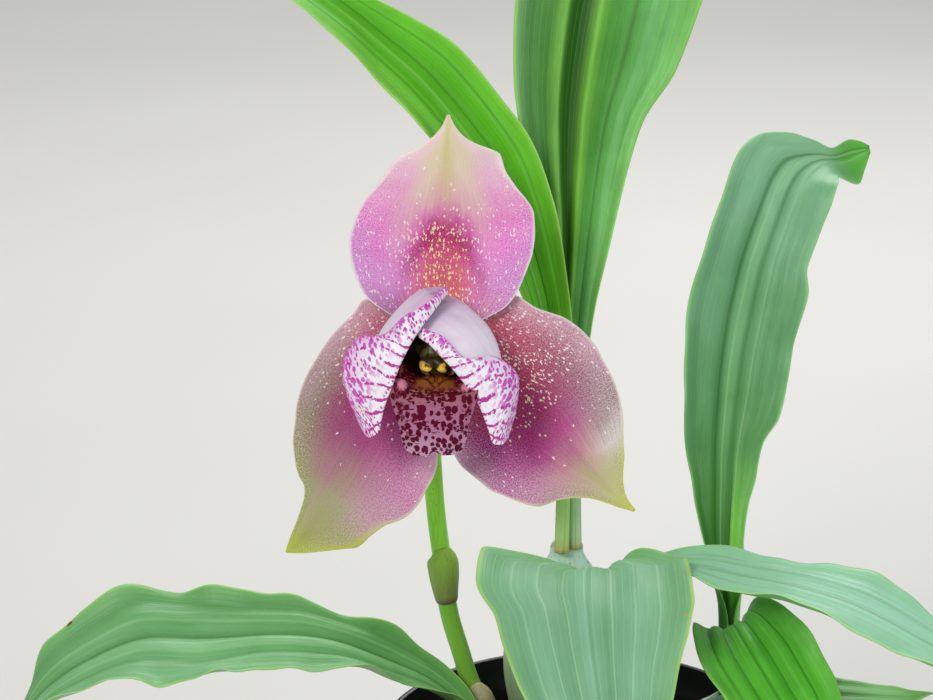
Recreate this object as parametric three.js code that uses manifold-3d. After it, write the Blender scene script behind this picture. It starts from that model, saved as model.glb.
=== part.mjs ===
// A potted lycaste orchid: nursery pot, bark mix, pseudobulbs, pleated leaves and one flower on its scape.
// Millimetres, +Z up. The origin is the centre of the pot's base, X runs to the right and Y to the back.
import * as THREE from "three";
import { mergeVertices } from "three/addons/utils/BufferGeometryUtils.js";
import Module from "manifold-3d";

const wasm = await Module();
wasm.setup();

// Driving dimensions
const POT_HEIGHT = 105;
const RIM_RADIUS = 62;
const BASE_RADIUS = 42;
const RIM_BAND = 8;
const RIM_STEP = 1.8;
const POT_WALL = 1.8;
const POT_FLOOR = 2.5;
const DRAIN_HOLES = 6;
const DRAIN_DIAMETER = 8;
const DRAIN_CIRCLE = 29;
const MIX_TOP = 90.5;
const CLEARANCE = 0.3;
const LEAF_THICKNESS = 0.8;
const SEPAL_THICKNESS = 0.9;
const PETAL_THICKNESS = 0.8;
const SCAPE_RADIUS = 2.9;
const LEAF_CELLS = [16, 8];
const YOUNG_LEAF_CELLS = [12, 6];
const SEPAL_CELLS = [14, 8];
const FLOWER_PLACE = [-43, 7.55, 225.4];
const FLOWER_TILT_DEGREES = 72;

const vectors = (rows) => rows.map((row) => new THREE.Vector3(...row));

// A repeatable stream of random numbers between 0 and 1.
function randomStream(seed) {
  let state = seed;
  return () => {
    state = (state + 0x6d2b79f5) | 0;
    let mixed = Math.imul(state ^ (state >>> 15), 1 | state);
    mixed = (mixed + Math.imul(mixed ^ (mixed >>> 7), 61 | mixed)) ^ mixed;
    return ((mixed ^ (mixed >>> 14)) >>> 0) / 4294967296;
  };
}

// A smooth curve through [place, value] rows that never overshoots them.
function rowCurve(rows) {
  const steps = rows.slice(1).map((row, i) => row[0] - rows[i][0]);
  const slopes = rows.slice(1).map((row, i) => (row[1] - rows[i][1]) / steps[i]);
  const tangents = rows.map((row, i) => {
    if (i === 0) return slopes[0] ?? 0;
    if (i === rows.length - 1) return slopes[i - 1];
    if (slopes[i - 1] * slopes[i] <= 0) return 0;
    return (2 * slopes[i - 1] * slopes[i]) / (slopes[i - 1] + slopes[i]);
  });
  return (place) => {
    const last = rows.length - 1;
    if (place <= rows[0][0]) return rows[0][1];
    if (place >= rows[last][0]) return rows[last][1];
    const i = rows.findIndex((row) => row[0] > place) - 1;
    const t = (place - rows[i][0]) / steps[i];
    const rise = rows[i + 1][1] - rows[i][1];
    const a = steps[i] * tangents[i] - rise;
    const b = -steps[i] * tangents[i + 1] + rise;
    return rows[i][1] + t * rise + t * (1 - t) * (a * (1 - t) + b * t);
  };
}

// [place, x, y, z] rows, blended in a straight line between places.
function vectorCurve(rows) {
  return (place) => {
    const next = rows.findIndex((row) => row[0] >= place);
    if (next <= 0) return new THREE.Vector3(...rows.at(next).slice(1));
    const [from, to] = [rows[next - 1], rows[next]];
    const t = (place - from[0]) / (to[0] - from[0]);
    return new THREE.Vector3(...from.slice(1)).lerp(new THREE.Vector3(...to.slice(1)), t);
  };
}

function indexedGeometry(positions, indices) {
  const geometry = new THREE.BufferGeometry();
  geometry.setAttribute("position", new THREE.Float32BufferAttribute(positions, 3));
  geometry.setIndex(indices);
  return geometry;
}

// Gives a grid of points a thickness along its normals, with the same triangles on both faces.
// rows[i][j] runs along the blade with i and across it with j.
function thickSheet(rows, thickness, relief = () => 0) {
  const along = rows.length - 1;
  const wide = rows[0].length - 1;
  const faces = { top: [], bottom: [] };
  for (let i = 0; i <= along; i++) {
    for (let j = 0; j <= wide; j++) {
      const across = rows[i][Math.min(j + 1, wide)].clone().sub(rows[i][Math.max(j - 1, 0)]);
      const forward = rows[Math.min(i + 1, along)][j].clone().sub(rows[Math.max(i - 1, 0)][j]);
      const normal = across.cross(forward).normalize();
      const raised = thickness / 2 + relief(i / along, (2 * j) / wide - 1);
      faces.top.push(rows[i][j].clone().addScaledVector(normal, raised));
      faces.bottom.push(rows[i][j].clone().addScaledVector(normal, -thickness / 2));
    }
  }
  const points = [...faces.top, ...faces.bottom];
  const top = (i, j) => i * (wide + 1) + j;
  const bottom = (i, j) => faces.top.length + top(i, j);
  const indices = [];
  for (let i = 0; i < along; i++) {
    for (let j = 0; j < wide; j++) {
      const corners = [[i, j], [i, j + 1], [i + 1, j + 1], [i + 1, j]];
      const [a, b, c, d] = corners.map((corner) => top(...corner));
      const [e, f, g, h] = corners.map((corner) => bottom(...corner));
      indices.push(a, b, c, a, c, d, e, g, f, e, h, g);
    }
    indices.push(top(i, 0), top(i + 1, 0), bottom(i + 1, 0), top(i, 0), bottom(i + 1, 0), bottom(i, 0));
    indices.push(top(i, wide), bottom(i + 1, wide), top(i + 1, wide));
    indices.push(top(i, wide), bottom(i, wide), bottom(i + 1, wide));
  }
  for (let j = 0; j < wide; j++) {
    indices.push(top(along, j), top(along, j + 1), bottom(along, j + 1));
    indices.push(top(along, j), bottom(along, j + 1), bottom(along, j));
    indices.push(top(0, j), bottom(0, j + 1), top(0, j + 1), top(0, j), bottom(0, j), bottom(0, j + 1));
  }
  return indexedGeometry(points.flatMap((p) => p.toArray()), indices);
}

// The moving frame of a path: its point, its direction, the way across it and its upper normal.
function pathFrame(curve, acrossAt, place) {
  const point = curve.getPointAt(place);
  const tangent = curve.getTangentAt(place);
  const across = acrossAt(place);
  across.addScaledVector(tangent, -across.dot(tangent)).normalize();
  const normal = across.clone().cross(tangent);
  return { point, tangent, across, normal };
}

// A saw of straight flanks, between -1 and 1, that starts at its low point.
const pleatWave = (v) => 1 - 4 * Math.abs((((v % 1) + 1.5) % 1) - 0.5);

// A leaf, sepal or lip: a spine, a half-width on each side of it, a trough, pleats and waved edges.
function blade(spec, grow = 0) {
  const curve = new THREE.CatmullRomCurve3(vectors(spec.spine), false, "catmullrom", 0.5);
  const acrossAt = vectorCurve(spec.across);
  const halfWidth = [rowCurve(spec.minus), rowCurve(spec.plus)];
  const cupAt = rowCurve(spec.cup);
  const foldAt = rowCurve(spec.fold ?? [[0, 0], [1, 0]]);
  const { height: waveHeight = 0, count: waveCount = 0, phase = 0, lag = 0.9 } = spec.wave ?? {};
  const [along, wide] = spec.cells;
  const rows = [];
  for (let i = 0; i <= along; i++) {
    const place = i / along;
    const frame = pathFrame(curve, acrossAt, place);
    if (i === 0) frame.point.addScaledVector(frame.tangent, -grow);
    if (i === along) frame.point.addScaledVector(frame.tangent, grow);
    const cup = Math.abs(cupAt(place)) < 1e-3 ? 1e-3 : cupAt(place);
    const fold = foldAt(place);
    const row = [];
    for (let j = 0; j <= wide; j++) {
      const v = (2 * j) / wide - 1;
      const side = v < 0 ? 0 : 1;
      const width = Math.max(halfWidth[side](place), 0.4) + grow;
      const turn = fold + cup * Math.abs(v);
      const lateral = (Math.sign(v) * width * (Math.sin(turn) - Math.sin(fold))) / cup;
      let rise = (width * (Math.cos(fold) - Math.cos(turn))) / cup;
      const freedom = Math.min(1, width / 16) ** 2;
      if (Math.abs(v) < 0.99) rise += (spec.pleat ?? 0) * freedom * pleatWave(v * 2);
      const swing = Math.sin(2 * Math.PI * waveCount * place + phase + (side ? lag : -lag));
      rise += waveHeight * freedom * Math.abs(v) ** 3 * swing;
      const slide = spec.slide ? spec.slide(place, v) : 0;
      row.push(
        frame.point
          .clone()
          .addScaledVector(frame.across, lateral)
          .addScaledVector(frame.normal, rise)
          .addScaledVector(frame.tangent, slide),
      );
    }
    rows.push(row);
  }
  return thickSheet(rows, spec.thickness + 2 * grow, spec.relief);
}

// A Catmull-Rom value between the middle two of four numbers; the ends reach a little past them.
function splineValue(a, b, c, d, t) {
  const slopes = [(c - a) / 2, (d - b) / 2];
  const cubic = 2 * b - 2 * c + slopes[0] + slopes[1];
  const square = -3 * b + 3 * c - 2 * slopes[0] - slopes[1];
  return ((cubic * t + square) * t + slopes[0]) * t + b;
}

function splinePoint(points, place) {
  const last = points.length - 1;
  const i = Math.min(Math.max(Math.floor(place), 0), last - 1);
  const before = points[i - 1] ?? points[0].map((value, axis) => 2 * value - points[1][axis]);
  const after = points[i + 2] ?? points[last].map((value, axis) => 2 * value - points[last - 1][axis]);
  return points[i].map((value, axis) =>
    splineValue(before[axis], value, points[i + 1][axis], after[axis], place - i),
  );
}

// A petal: a sheet stretched over rails that run from its top to its tip.
function railSheet(spec, grow = 0) {
  const [along, wide] = spec.cells;
  const reach = grow / 12;
  const rows = [];
  for (let i = 0; i <= along; i++) {
    const down = (i / along) * (1 + 2 * reach) - reach;
    const points = spec.rails.map((rail) => splinePoint(rail, down * (rail.length - 1)));
    const row = [];
    for (let j = 0; j <= wide; j++) {
      const out = (j / wide) * (1 + 2 * reach) - reach;
      row.push(new THREE.Vector3(...splinePoint(points, out * (points.length - 1))));
    }
    rows.push(spec.mirrored ? row.reverse() : row);
  }
  return thickSheet(rows, spec.thickness + 2 * grow);
}

// A bulb, stalk or column: rings of two half-widths along a path, closed at both ends.
function swept(spec, grow = 0) {
  const curve = new THREE.CatmullRomCurve3(vectors(spec.path), false, "catmullrom", 0.5);
  const acrossAt = vectorCurve(spec.across ?? [[0, 1, 0, 0]]);
  const wideAt = rowCurve(spec.radii.map((row) => [row[0], row[1]]));
  const deepAt = rowCurve(spec.radii.map((row) => [row[0], row[2] ?? row[1]]));
  const { count: ridgeCount = 0, depth: ridgeDepth = 0 } = spec.ridges ?? {};
  const [rings, sides] = spec.cells;
  const points = [];
  for (let i = 0; i <= rings; i++) {
    const place = i / rings;
    const { point, tangent, across, normal } = pathFrame(curve, acrossAt, place);
    if (i === 0) point.addScaledVector(tangent, -grow);
    if (i === rings) point.addScaledVector(tangent, grow);
    for (let k = 0; k < sides; k++) {
      const angle = (2 * Math.PI * k) / sides;
      const ridge = 1 + ridgeDepth * Math.cos(ridgeCount * angle);
      points.push(
        point
          .clone()
          .addScaledVector(across, (wideAt(place) * ridge + grow) * Math.cos(angle))
          .addScaledVector(normal, -(deepAt(place) * ridge + grow) * Math.sin(angle)),
      );
    }
  }
  const indices = [];
  const ringPoint = (i, k) => i * sides + (k % sides);
  for (let i = 0; i < rings; i++) {
    for (let k = 0; k < sides; k++) {
      const [a, b] = [ringPoint(i, k), ringPoint(i, k + 1)];
      const [c, d] = [ringPoint(i + 1, k + 1), ringPoint(i + 1, k)];
      indices.push(a, b, c, a, c, d);
    }
  }
  for (const ring of [0, rings]) {
    const centre = new THREE.Vector3();
    for (let k = 0; k < sides; k++) centre.addScaledVector(points[ringPoint(ring, k)], 1 / sides);
    points.push(centre);
    for (let k = 0; k < sides; k++) {
      const edge = [ringPoint(ring, k), ringPoint(ring, k + 1)];
      indices.push(points.length - 1, ...(ring ? edge : edge.reverse()));
    }
  }
  return indexedGeometry(points.flatMap((p) => p.toArray()), indices);
}

function solidOf(geometry) {
  const bare = new THREE.BufferGeometry();
  bare.setAttribute("position", geometry.getAttribute("position").clone());
  bare.setIndex(geometry.index);
  const merged = mergeVertices(bare, 1e-3);
  return new wasm.Manifold(
    new wasm.Mesh({
      numProp: 3,
      vertProperties: merged.attributes.position.array,
      triVerts: new Uint32Array(merged.index.array),
    }),
  );
}

function geometryOf(solid) {
  const mesh = solid.getMesh();
  return indexedGeometry(Array.from(mesh.vertProperties), Array.from(mesh.triVerts));
}

function largestBody(solid) {
  return solid.decompose().reduce((best, body) => (body.volume() > best.volume() ? body : best));
}

// Cuts the cutters out of a piece and keeps its largest body.
function cut(geometry, cutters) {
  const solid = cutters.reduce((rest, cutter) => rest.subtract(solidOf(cutter)), solidOf(geometry));
  return geometryOf(largestBody(solid));
}

function piece(name, geometry, look) {
  const mesh = new THREE.Mesh(geometry, new THREE.MeshStandardMaterial(look));
  mesh.name = name;
  return mesh;
}

// Looks
const plastic = { color: 0x16171a, roughness: 0.42, metalness: 0 };
const bark = { color: 0x6b4630, roughness: 0.9, metalness: 0 };
const bulbSkin = { color: 0x8a9c77, roughness: 0.5, metalness: 0 };
const leafGreen = { color: 0x6f9f52, roughness: 0.5, metalness: 0, side: THREE.DoubleSide };
const stalkGreen = { color: 0x93a95a, roughness: 0.55, metalness: 0 };
const sepalPink = { color: 0xc06f9c, roughness: 0.6, metalness: 0 };
const petalWhite = { color: 0xe6d9e4, roughness: 0.55, metalness: 0 };
const lipSpotted = { color: 0xb56a8c, roughness: 0.55, metalness: 0 };
const antherYellow = { color: 0xd9c62c, roughness: 0.5, metalness: 0 };

// Pot: a tapered wall, a stepped rim band and drainage holes round a solid centre.
function potGeometry() {
  const bandFoot = POT_HEIGHT - RIM_BAND;
  const neckRadius = RIM_RADIUS - RIM_STEP - 0.8;
  const profile = [
    [0, 0],
    [BASE_RADIUS - 1, 0],
    [BASE_RADIUS, 1],
    [neckRadius, bandFoot - 1],
    [RIM_RADIUS - 0.8, bandFoot],
    [RIM_RADIUS, POT_HEIGHT - 0.8],
    [RIM_RADIUS - 0.7, POT_HEIGHT],
    [RIM_RADIUS - POT_WALL + 0.5, POT_HEIGHT],
    [RIM_RADIUS - POT_WALL, POT_HEIGHT - 0.8],
    [RIM_RADIUS - POT_WALL - 0.8, bandFoot + 1],
    [neckRadius - POT_WALL, bandFoot - 2],
    [BASE_RADIUS - POT_WALL, POT_FLOOR],
    [0, POT_FLOOR],
  ];
  const points = profile.map(([radius, height]) => new THREE.Vector2(radius, height));
  const shell = new THREE.LatheGeometry(points, 36).rotateX(Math.PI / 2);
  const drains = [];
  for (let i = 0; i < DRAIN_HOLES; i++) {
    const angle = (2 * Math.PI * i) / DRAIN_HOLES;
    const drain = new THREE.CylinderGeometry(DRAIN_DIAMETER / 2, DRAIN_DIAMETER / 2, 4 * POT_FLOOR, 12);
    drain.rotateX(Math.PI / 2);
    drain.translate(DRAIN_CIRCLE * Math.cos(angle), DRAIN_CIRCLE * Math.sin(angle), 0);
    drains.push(drain);
  }
  return cut(shell, drains);
}

// Bark mix: a plug that fills the pot, with chips and perlite grains fused on its top.
const chipSpread = { chips: 22, grains: 6, reach: 48, seed: 7 };

function chipGeometry(random) {
  const [long, wide, tall] = [10 + 8 * random(), 6 + 5 * random(), 5 + 3 * random()];
  const chip = new THREE.BoxGeometry(long, wide, tall);
  const box = indexedGeometry(Array.from(chip.attributes.position.array), Array.from(chip.index.array));
  const merged = mergeVertices(box, 1e-3);
  const corners = merged.attributes.position;
  for (let i = 0; i < corners.count; i++) {
    corners.setXYZ(
      i,
      corners.getX(i) * (0.72 + 0.4 * random()),
      corners.getY(i) * (0.72 + 0.4 * random()),
      corners.getZ(i) * (0.75 + 0.3 * random()),
    );
  }
  merged.rotateX((random() - 0.5) * 0.6);
  merged.rotateY((random() - 0.5) * 0.6);
  return merged;
}

function mixGeometry(cutters) {
  const wallLean = (RIM_RADIUS - RIM_STEP - 0.8 - BASE_RADIUS) / (POT_HEIGHT - RIM_BAND - 2);
  const wallAt = (height) => BASE_RADIUS + wallLean * (height - 1) - POT_WALL - 2 * CLEARANCE;
  const profile = [
    [0, POT_FLOOR + CLEARANCE],
    [wallAt(POT_FLOOR) - 1, POT_FLOOR + CLEARANCE],
    [wallAt(MIX_TOP - 2), MIX_TOP - 2],
    [wallAt(MIX_TOP - 2) - 3, MIX_TOP],
    [0, MIX_TOP + 1],
  ];
  const points = profile.map(([radius, height]) => new THREE.Vector2(radius, height));
  let solid = solidOf(new THREE.LatheGeometry(points, 32).rotateX(Math.PI / 2));
  const random = randomStream(chipSpread.seed);
  const scatter = () => {
    const angle = 2 * Math.PI * random();
    const radius = chipSpread.reach * Math.sqrt(random());
    return [radius * Math.cos(angle), radius * Math.sin(angle)];
  };
  for (let i = 0; i < chipSpread.chips; i++) {
    const chip = chipGeometry(random);
    chip.rotateZ(2 * Math.PI * random());
    chip.translate(...scatter(), MIX_TOP + 0.4 + random());
    solid = solid.add(solidOf(chip));
  }
  for (let i = 0; i < chipSpread.grains; i++) {
    const grain = new THREE.OctahedronGeometry(2.2 + random());
    grain.translate(...scatter(), MIX_TOP + 2 + random());
    solid = solid.add(solidOf(grain));
  }
  for (const cutter of cutters) solid = solid.subtract(solidOf(cutter));
  return geometryOf(largestBody(solid));
}

// Pseudobulbs: flattened eggs with faint ribs. Radii are [place, half-width, half-depth] from the base up.
function bulb(base, top, halfWidth, halfDepth, turn) {
  const shape = [
    [0, 0.3],
    [0.08, 0.72],
    [0.22, 0.94],
    [0.38, 1],
    [0.58, 0.93],
    [0.76, 0.68],
    [0.88, 0.41],
    [0.95, 0.27],
    [1, 0.23],
  ];
  const middle = base.map((value, axis) => (value + top[axis]) / 2);
  return {
    path: [base, middle, top],
    across: [[0, Math.cos(turn), Math.sin(turn), 0], [1, Math.cos(turn), Math.sin(turn), 0]],
    radii: shape.map(([place, share]) => {
      const flatter = 0.25 + 0.75 * share;
      return [place, share * halfWidth, flatter * share * halfDepth];
    }),
    ridges: { count: 8, depth: 0.03 },
    cells: [9, 14],
  };
}

const bulbs = {
  bulb_rear: bulb([-4, 39, 84.5], [-3.8, 38.5, 152.5], 19, 12.5, 0.05),
  bulb_front: bulb([4, 11.5, 84.5], [6.5, 14.5, 130], 19, 11.5, -0.1),
  bulb_right: bulb([37, 19, 84.5], [46.3, 22, 109.5], 11, 9, 0.4),
  back_bulb: bulb([31, -7, 84.5], [33, -6, 110], 11, 9.5, 0.3),
};

const rhizome = {
  path: [
    [31, -10, 79], [38, 12, 78.5], [24, 22, 78.5], [6, 14, 78.5], [-3, 34, 78.5], [-20, 36, 79],
    [-31, 26, 80],
  ],
  across: [[0, 0, 0, 1], [1, 0, 0, 1]],
  radii: [[0, 2.2], [0.06, 4.6], [0.25, 5.3], [0.42, 4.5], [0.55, 5.4], [0.75, 4.7], [0.9, 5], [1, 2.2]],
  cells: [22, 8],
};

// Leaves. Each has its spine from the base up, the way across it, a half-width on each side of the spine,
// the trough (cup, in radians at the edge), and the height, number and phase of its edge waves.
const stalk = (width) => [[0, width], [0.07, width]];

const leaves = {
  leaf_arching_left: {
    spine: [
      [-6, 36.5, 150], [-5.8, 40, 178.9], [-7.6, 43, 204], [-12.7, 46, 233.8], [-23.2, 46, 265.4],
      [-34, 44.5, 283], [-46.8, 42, 299.3], [-59.2, 38, 311.6], [-73, 33, 324], [-91.7, 26, 336.8],
      [-113.5, 16, 347], [-134.6, 5, 352],
    ],
    across: [
      [0, 0.95, 0.3, 0], [0.3, 0.9, 0.4, 0.2], [0.55, 0.6, 0.64, 0.48], [0.72, 0.42, 0.75, 0.5],
      [1, 0.3, 0.85, 0.4],
    ],
    minus: [
      ...stalk(5.4), [0.2, 7], [0.3, 10], [0.4, 14.5], [0.5, 18], [0.6, 20.5], [0.7, 20.5], [0.82, 16.5],
      [0.92, 9.5], [1, 0.4],
    ],
    plus: [
      ...stalk(5.4), [0.2, 7], [0.3, 8.5], [0.4, 11.5], [0.5, 13.8], [0.58, 13.4], [0.65, 10], [0.72, 6.2],
      [0.82, 4.6], [0.92, 3.2], [1, 0.4],
    ],
    cup: [[0, 2.5], [0.12, 2.2], [0.28, 0.9], [0.45, 0.35], [0.7, 0.3], [1, 0.2]],
    fold: [[0, 0], [0.3, 0.2], [0.5, 0.3], [0.8, 0.3], [1, 0.1]],
    wave: { height: 1.6, count: 3, phase: 0.4 },
    pleat: 0.8,
  },
  leaf_upright: {
    spine: [
      [-1.6, 40, 150], [-2.2, 44, 184], [-2.4, 50, 218], [-0.2, 58, 248], [3.4, 66, 282.5],
      [9.3, 72, 317], [17.8, 82, 352], [29, 100, 383], [40, 125, 402.5],
    ],
    across: [[0, 1, 0.1, 0], [1, 0.9, 0.1, -0.3]],
    minus: [
      ...stalk(5.4), [0.24, 8.5], [0.355, 15], [0.42, 21], [0.51, 28], [0.61, 31.5], [0.7, 32], [0.78, 29],
      [0.88, 20], [0.95, 9], [1, 0.4],
    ],
    plus: [
      ...stalk(5.4), [0.24, 7], [0.355, 10.5], [0.42, 13], [0.484, 16.5], [0.55, 24], [0.61, 26.5], [0.7, 28],
      [0.78, 26.5], [0.88, 18], [0.95, 8.5], [1, 0.4],
    ],
    cup: [[0, 2.5], [0.12, 2.2], [0.25, 1.1], [0.4, 0.45], [0.6, 0.2], [1, 0.25]],
    fold: [[0, 0], [0.3, 0.15], [1, 0.15]],
    wave: { height: 2.5, count: 2.5, phase: 2 },
    pleat: 1.4,
  },
  leaf_back_right: {
    spine: [
      [46.5, 22, 107], [46.7, 34, 128.6], [47, 40, 145.4], [48.1, 48, 166.9], [49, 52, 179.8],
      [52.5, 58, 206.4], [57.5, 63, 231.5], [62.4, 67.5, 246.5], [68.2, 75, 258.5], [75.5, 84.5, 262.5],
      [84, 92, 262], [94, 96.5, 264],
    ],
    across: [
      [0, 1, 0.1, 0], [0.6, 0.97, 0.1, -0.1], [0.8, 0.9, 0, -0.3], [0.9, 0.55, -0.4, -0.7],
      [1, -0.2, -0.3, -0.95],
    ],
    minus: [
      ...stalk(8.6), [0.14, 8.6], [0.2, 11.5], [0.25, 13.5], [0.3, 15.5], [0.35, 17], [0.4, 19], [0.45, 20.8],
      [0.5, 22.5], [0.6, 24.5], [0.68, 24], [0.76, 23], [0.805, 22.5], [0.84, 20], [0.87, 13], [0.9, 7],
      [0.93, 4], [0.965, 5.5], [1, 2],
    ],
    plus: [
      ...stalk(8.6), [0.14, 8.6], [0.2, 7], [0.25, 5.4], [0.3, 6.2], [0.35, 8.4], [0.4, 9], [0.45, 13],
      [0.5, 14.4], [0.65, 14.6], [0.7, 12.8], [0.8, 13.6], [0.86, 11], [0.9, 8.5], [0.93, 9], [0.955, 10],
      [0.98, 5.5], [1, 1],
    ],
    cup: [[0, 2.5], [0.1, 2.3], [0.2, 1.5], [0.28, 0.8], [0.5, 0.35], [1, 0.3]],
    fold: [[0, 0], [0.4, 0.2], [1, 0.15]],
    wave: { height: 2.4, count: 4.5, phase: 1 },
    pleat: 1.2,
  },
  leaf_right: {
    spine: [
      [9.2, 14, 127], [11.7, 14, 144.9], [20.2, 8, 154.7], [31.6, 0, 159.7], [46.7, -8, 159.5],
      [62.6, -16, 159], [79.2, -24, 156.2], [99.5, -32, 147.5], [118.2, -38, 138.5], [138.4, -42, 125.4],
    ],
    across: [[0, -0.44, -0.85, 0], [0.35, -0.44, -0.85, 0.02], [0.6, -0.42, -0.87, 0.08], [1, -0.3, -0.9, 0]],
    minus: [
      ...stalk(6.4), [0.15, 6.6], [0.22, 8], [0.3, 12], [0.36, 15.5], [0.42, 18.5], [0.5, 21], [0.6, 22],
      [0.7, 20.5], [0.82, 16], [0.92, 9.5], [1, 0.4],
    ],
    plus: [
      ...stalk(6.4), [0.15, 6.6], [0.22, 8], [0.3, 11], [0.36, 14], [0.42, 15.8], [0.5, 17.5], [0.6, 18.5],
      [0.7, 17.5], [0.82, 14], [0.92, 8], [1, 0.4],
    ],
    cup: [[0, 2.4], [0.1, 2], [0.22, 0.8], [0.4, 0.25], [1, 0.2]],
    wave: { height: 1.5, count: 3.5, phase: 2.4 },
    pleat: 0.9,
  },
  leaf_front: {
    spine: [
      [5.6, 15.5, 127], [5.1, 16, 142], [3.5, 12, 153], [0.9, -4, 158.8], [0.2, -22, 156.5],
      [0.9, -36, 148.9], [2.5, -48, 138.8], [3.6, -59, 125.4], [4.4, -66.5, 111], [5.2, -70.5, 95],
    ],
    across: [[0, -1, 0, 0], [0.4, -1, 0, -0.06], [1, -1, 0.05, 0]],
    minus: [
      ...stalk(6.4), [0.12, 7], [0.18, 12], [0.24, 23], [0.3, 30.5], [0.38, 31], [0.456, 31], [0.53, 28.5],
      [0.62, 23.5], [0.7, 19.5], [0.8, 14.5], [0.92, 7], [1, 0.4],
    ],
    plus: [
      ...stalk(6.4), [0.12, 7], [0.18, 12], [0.24, 25], [0.29, 32.5], [0.38, 33], [0.456, 27.5], [0.53, 25.5],
      [0.62, 22.5], [0.7, 18.5], [0.8, 14], [0.92, 7], [1, 0.4],
    ],
    cup: [[0, 2.4], [0.1, 2], [0.17, 0.9], [0.27, 0.4], [0.36, 0.3], [0.5, 0.2], [1, 0.3]],
    wave: { height: 2.2, count: 3, phase: 0.63, lag: 1.57 },
    pleat: 1.1,
  },
  leaf_left: {
    spine: [
      [-32.5, 21.5, 84.5], [-32.8, 21.3, 93], [-36.6, 20, 103.8], [-46.5, 17.5, 113.9], [-61.8, 14, 122.6],
      [-77, 10, 130], [-94.6, 6, 133.2], [-115.8, 2, 133], [-133.5, -2, 134.6], [-148.2, -6, 130],
      [-160, -10, 123.4], [-167.6, -13, 115.6], [-172.4, -16, 106.5],
    ],
    across: [[0, 0.1, 0.96, 0.1], [0.3, 0, 0.96, 0.28], [1, 0.1, 0.96, 0.2]],
    minus: [
      ...stalk(5.5), [0.14, 7], [0.19, 9.5], [0.24, 11], [0.285, 13], [0.38, 15.5], [0.43, 18], [0.52, 19],
      [0.57, 23], [0.62, 25.5], [0.67, 23], [0.76, 22], [0.86, 21], [0.92, 15], [0.965, 8], [1, 0.4],
    ],
    plus: [
      ...stalk(5.5), [0.14, 7], [0.19, 9], [0.24, 10.5], [0.285, 12.4], [0.38, 14], [0.43, 16], [0.52, 17.5],
      [0.57, 20.5], [0.62, 23.5], [0.67, 23.5], [0.76, 21.5], [0.86, 19], [0.92, 14], [0.965, 7.5], [1, 0.4],
    ],
    cup: [[0, 2.3], [0.12, 1.8], [0.2, 0.8], [0.4, 0.4], [0.7, 0.3], [1, 0.2]],
    fold: [[0, 0], [0.3, 0.1], [1, 0.1]],
    wave: { height: 2.6, count: 4, phase: 0.2 },
    pleat: 0.9,
  },
  leaf_small_right: {
    spine: [
      [50.5, 6.5, 85], [49.5, 6.5, 104], [47.6, 6.5, 127], [46.6, 5, 135.5], [45.6, -3, 142.2],
      [48.8, -16, 140.4], [54, -30, 134.8], [60, -42, 127.6], [66.4, -54, 118.4], [71.4, -62, 109.4],
    ],
    across: [
      [0, -0.85, -0.5, 0], [0.45, -0.85, -0.5, -0.22], [0.7, -0.85, -0.5, -0.1], [1, -0.85, -0.5, 0.1],
    ],
    minus: [
      ...stalk(5), [0.35, 6], [0.42, 10], [0.5, 15], [0.6, 18], [0.7, 18.5], [0.85, 12.5], [0.95, 5.5],
      [1, 0.4],
    ],
    plus: [
      ...stalk(5), [0.35, 6], [0.42, 10], [0.5, 16], [0.6, 18.5], [0.7, 18.5], [0.85, 12.5], [0.95, 5.5],
      [1, 0.4],
    ],
    cup: [[0, 2.3], [0.25, 1.9], [0.4, 0.9], [0.6, 0.45], [1, 0.3]],
    wave: { height: 1.4, count: 2.5, phase: 0.5 },
    pleat: 0.9,
    young: true,
  },
  leaf_low_right: {
    spine: [
      [50, 0, 85], [51.2, 0, 100], [58, 0, 110.5], [66, -1, 115.6], [76, -3, 117.4], [87, -5, 118],
      [97, -9, 120], [104, -12, 124],
    ],
    across: [[0, -0.1, -1, 0], [1, -0.3, -0.95, 0]],
    minus: [...stalk(4), [0.2, 5], [0.4, 8], [0.6, 10.5], [0.8, 8.5], [0.93, 4], [1, 0.4]],
    plus: [...stalk(4), [0.2, 5], [0.4, 8], [0.6, 10.5], [0.8, 8.5], [0.93, 4], [1, 0.4]],
    cup: [[0, 2.3], [0.2, 1.7], [0.4, 0.7], [1, 0.3]],
    wave: { height: 1, count: 2.5, phase: 0 },
    pleat: 0.7,
    young: true,
  },
};

for (const leaf of Object.values(leaves)) {
  leaf.thickness = LEAF_THICKNESS;
  leaf.cells = leaf.young ? YOUNG_LEAF_CELLS : LEAF_CELLS;
}

// Flower stalk, in the plant's frame.
const scape = {
  path: [
    [-24.5, 30.5, 84.5], [-27.5, 30, 94], [-31.6, 30, 102.8], [-34.6, 30, 110], [-37, 30, 118.5],
    [-40, 30, 129], [-41.6, 30, 138], [-42.6, 30, 148.5], [-44, 29, 160], [-45, 28, 171],
    [-45.7, 26.5, 184], [-46, 25.6, 196], [-45.8, 25.6, 206],
  ],
  across: [[0, 1, 0, 0], [1, 1, 0, 0]],
  radii: [[0, SCAPE_RADIUS + 0.5], [0.15, SCAPE_RADIUS], [1, SCAPE_RADIUS - 0.1]],
  cells: [18, 8],
};

// A sheathing bract: a sleeve round a stretch of the scape that swells and closes in again.
function sleeve(from, to, swell) {
  const axis = new THREE.CatmullRomCurve3(vectors(scape.path), false, "catmullrom", 0.5);
  const stretch = [0, 0.25, 0.5, 0.75, 1].map((t) => axis.getPointAt(from + t * (to - from)).toArray());
  const rim = SCAPE_RADIUS + CLEARANCE + 0.75;
  const outer = {
    path: stretch,
    across: scape.across,
    radii: [[0, rim], [0.2, rim + 0.25 * swell], [0.5, rim + 0.9 * swell], [0.7, rim + swell], [1, rim]],
    cells: [7, 8],
  };
  return cut(swept(outer), [swept(scape, CLEARANCE)]);
}

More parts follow.
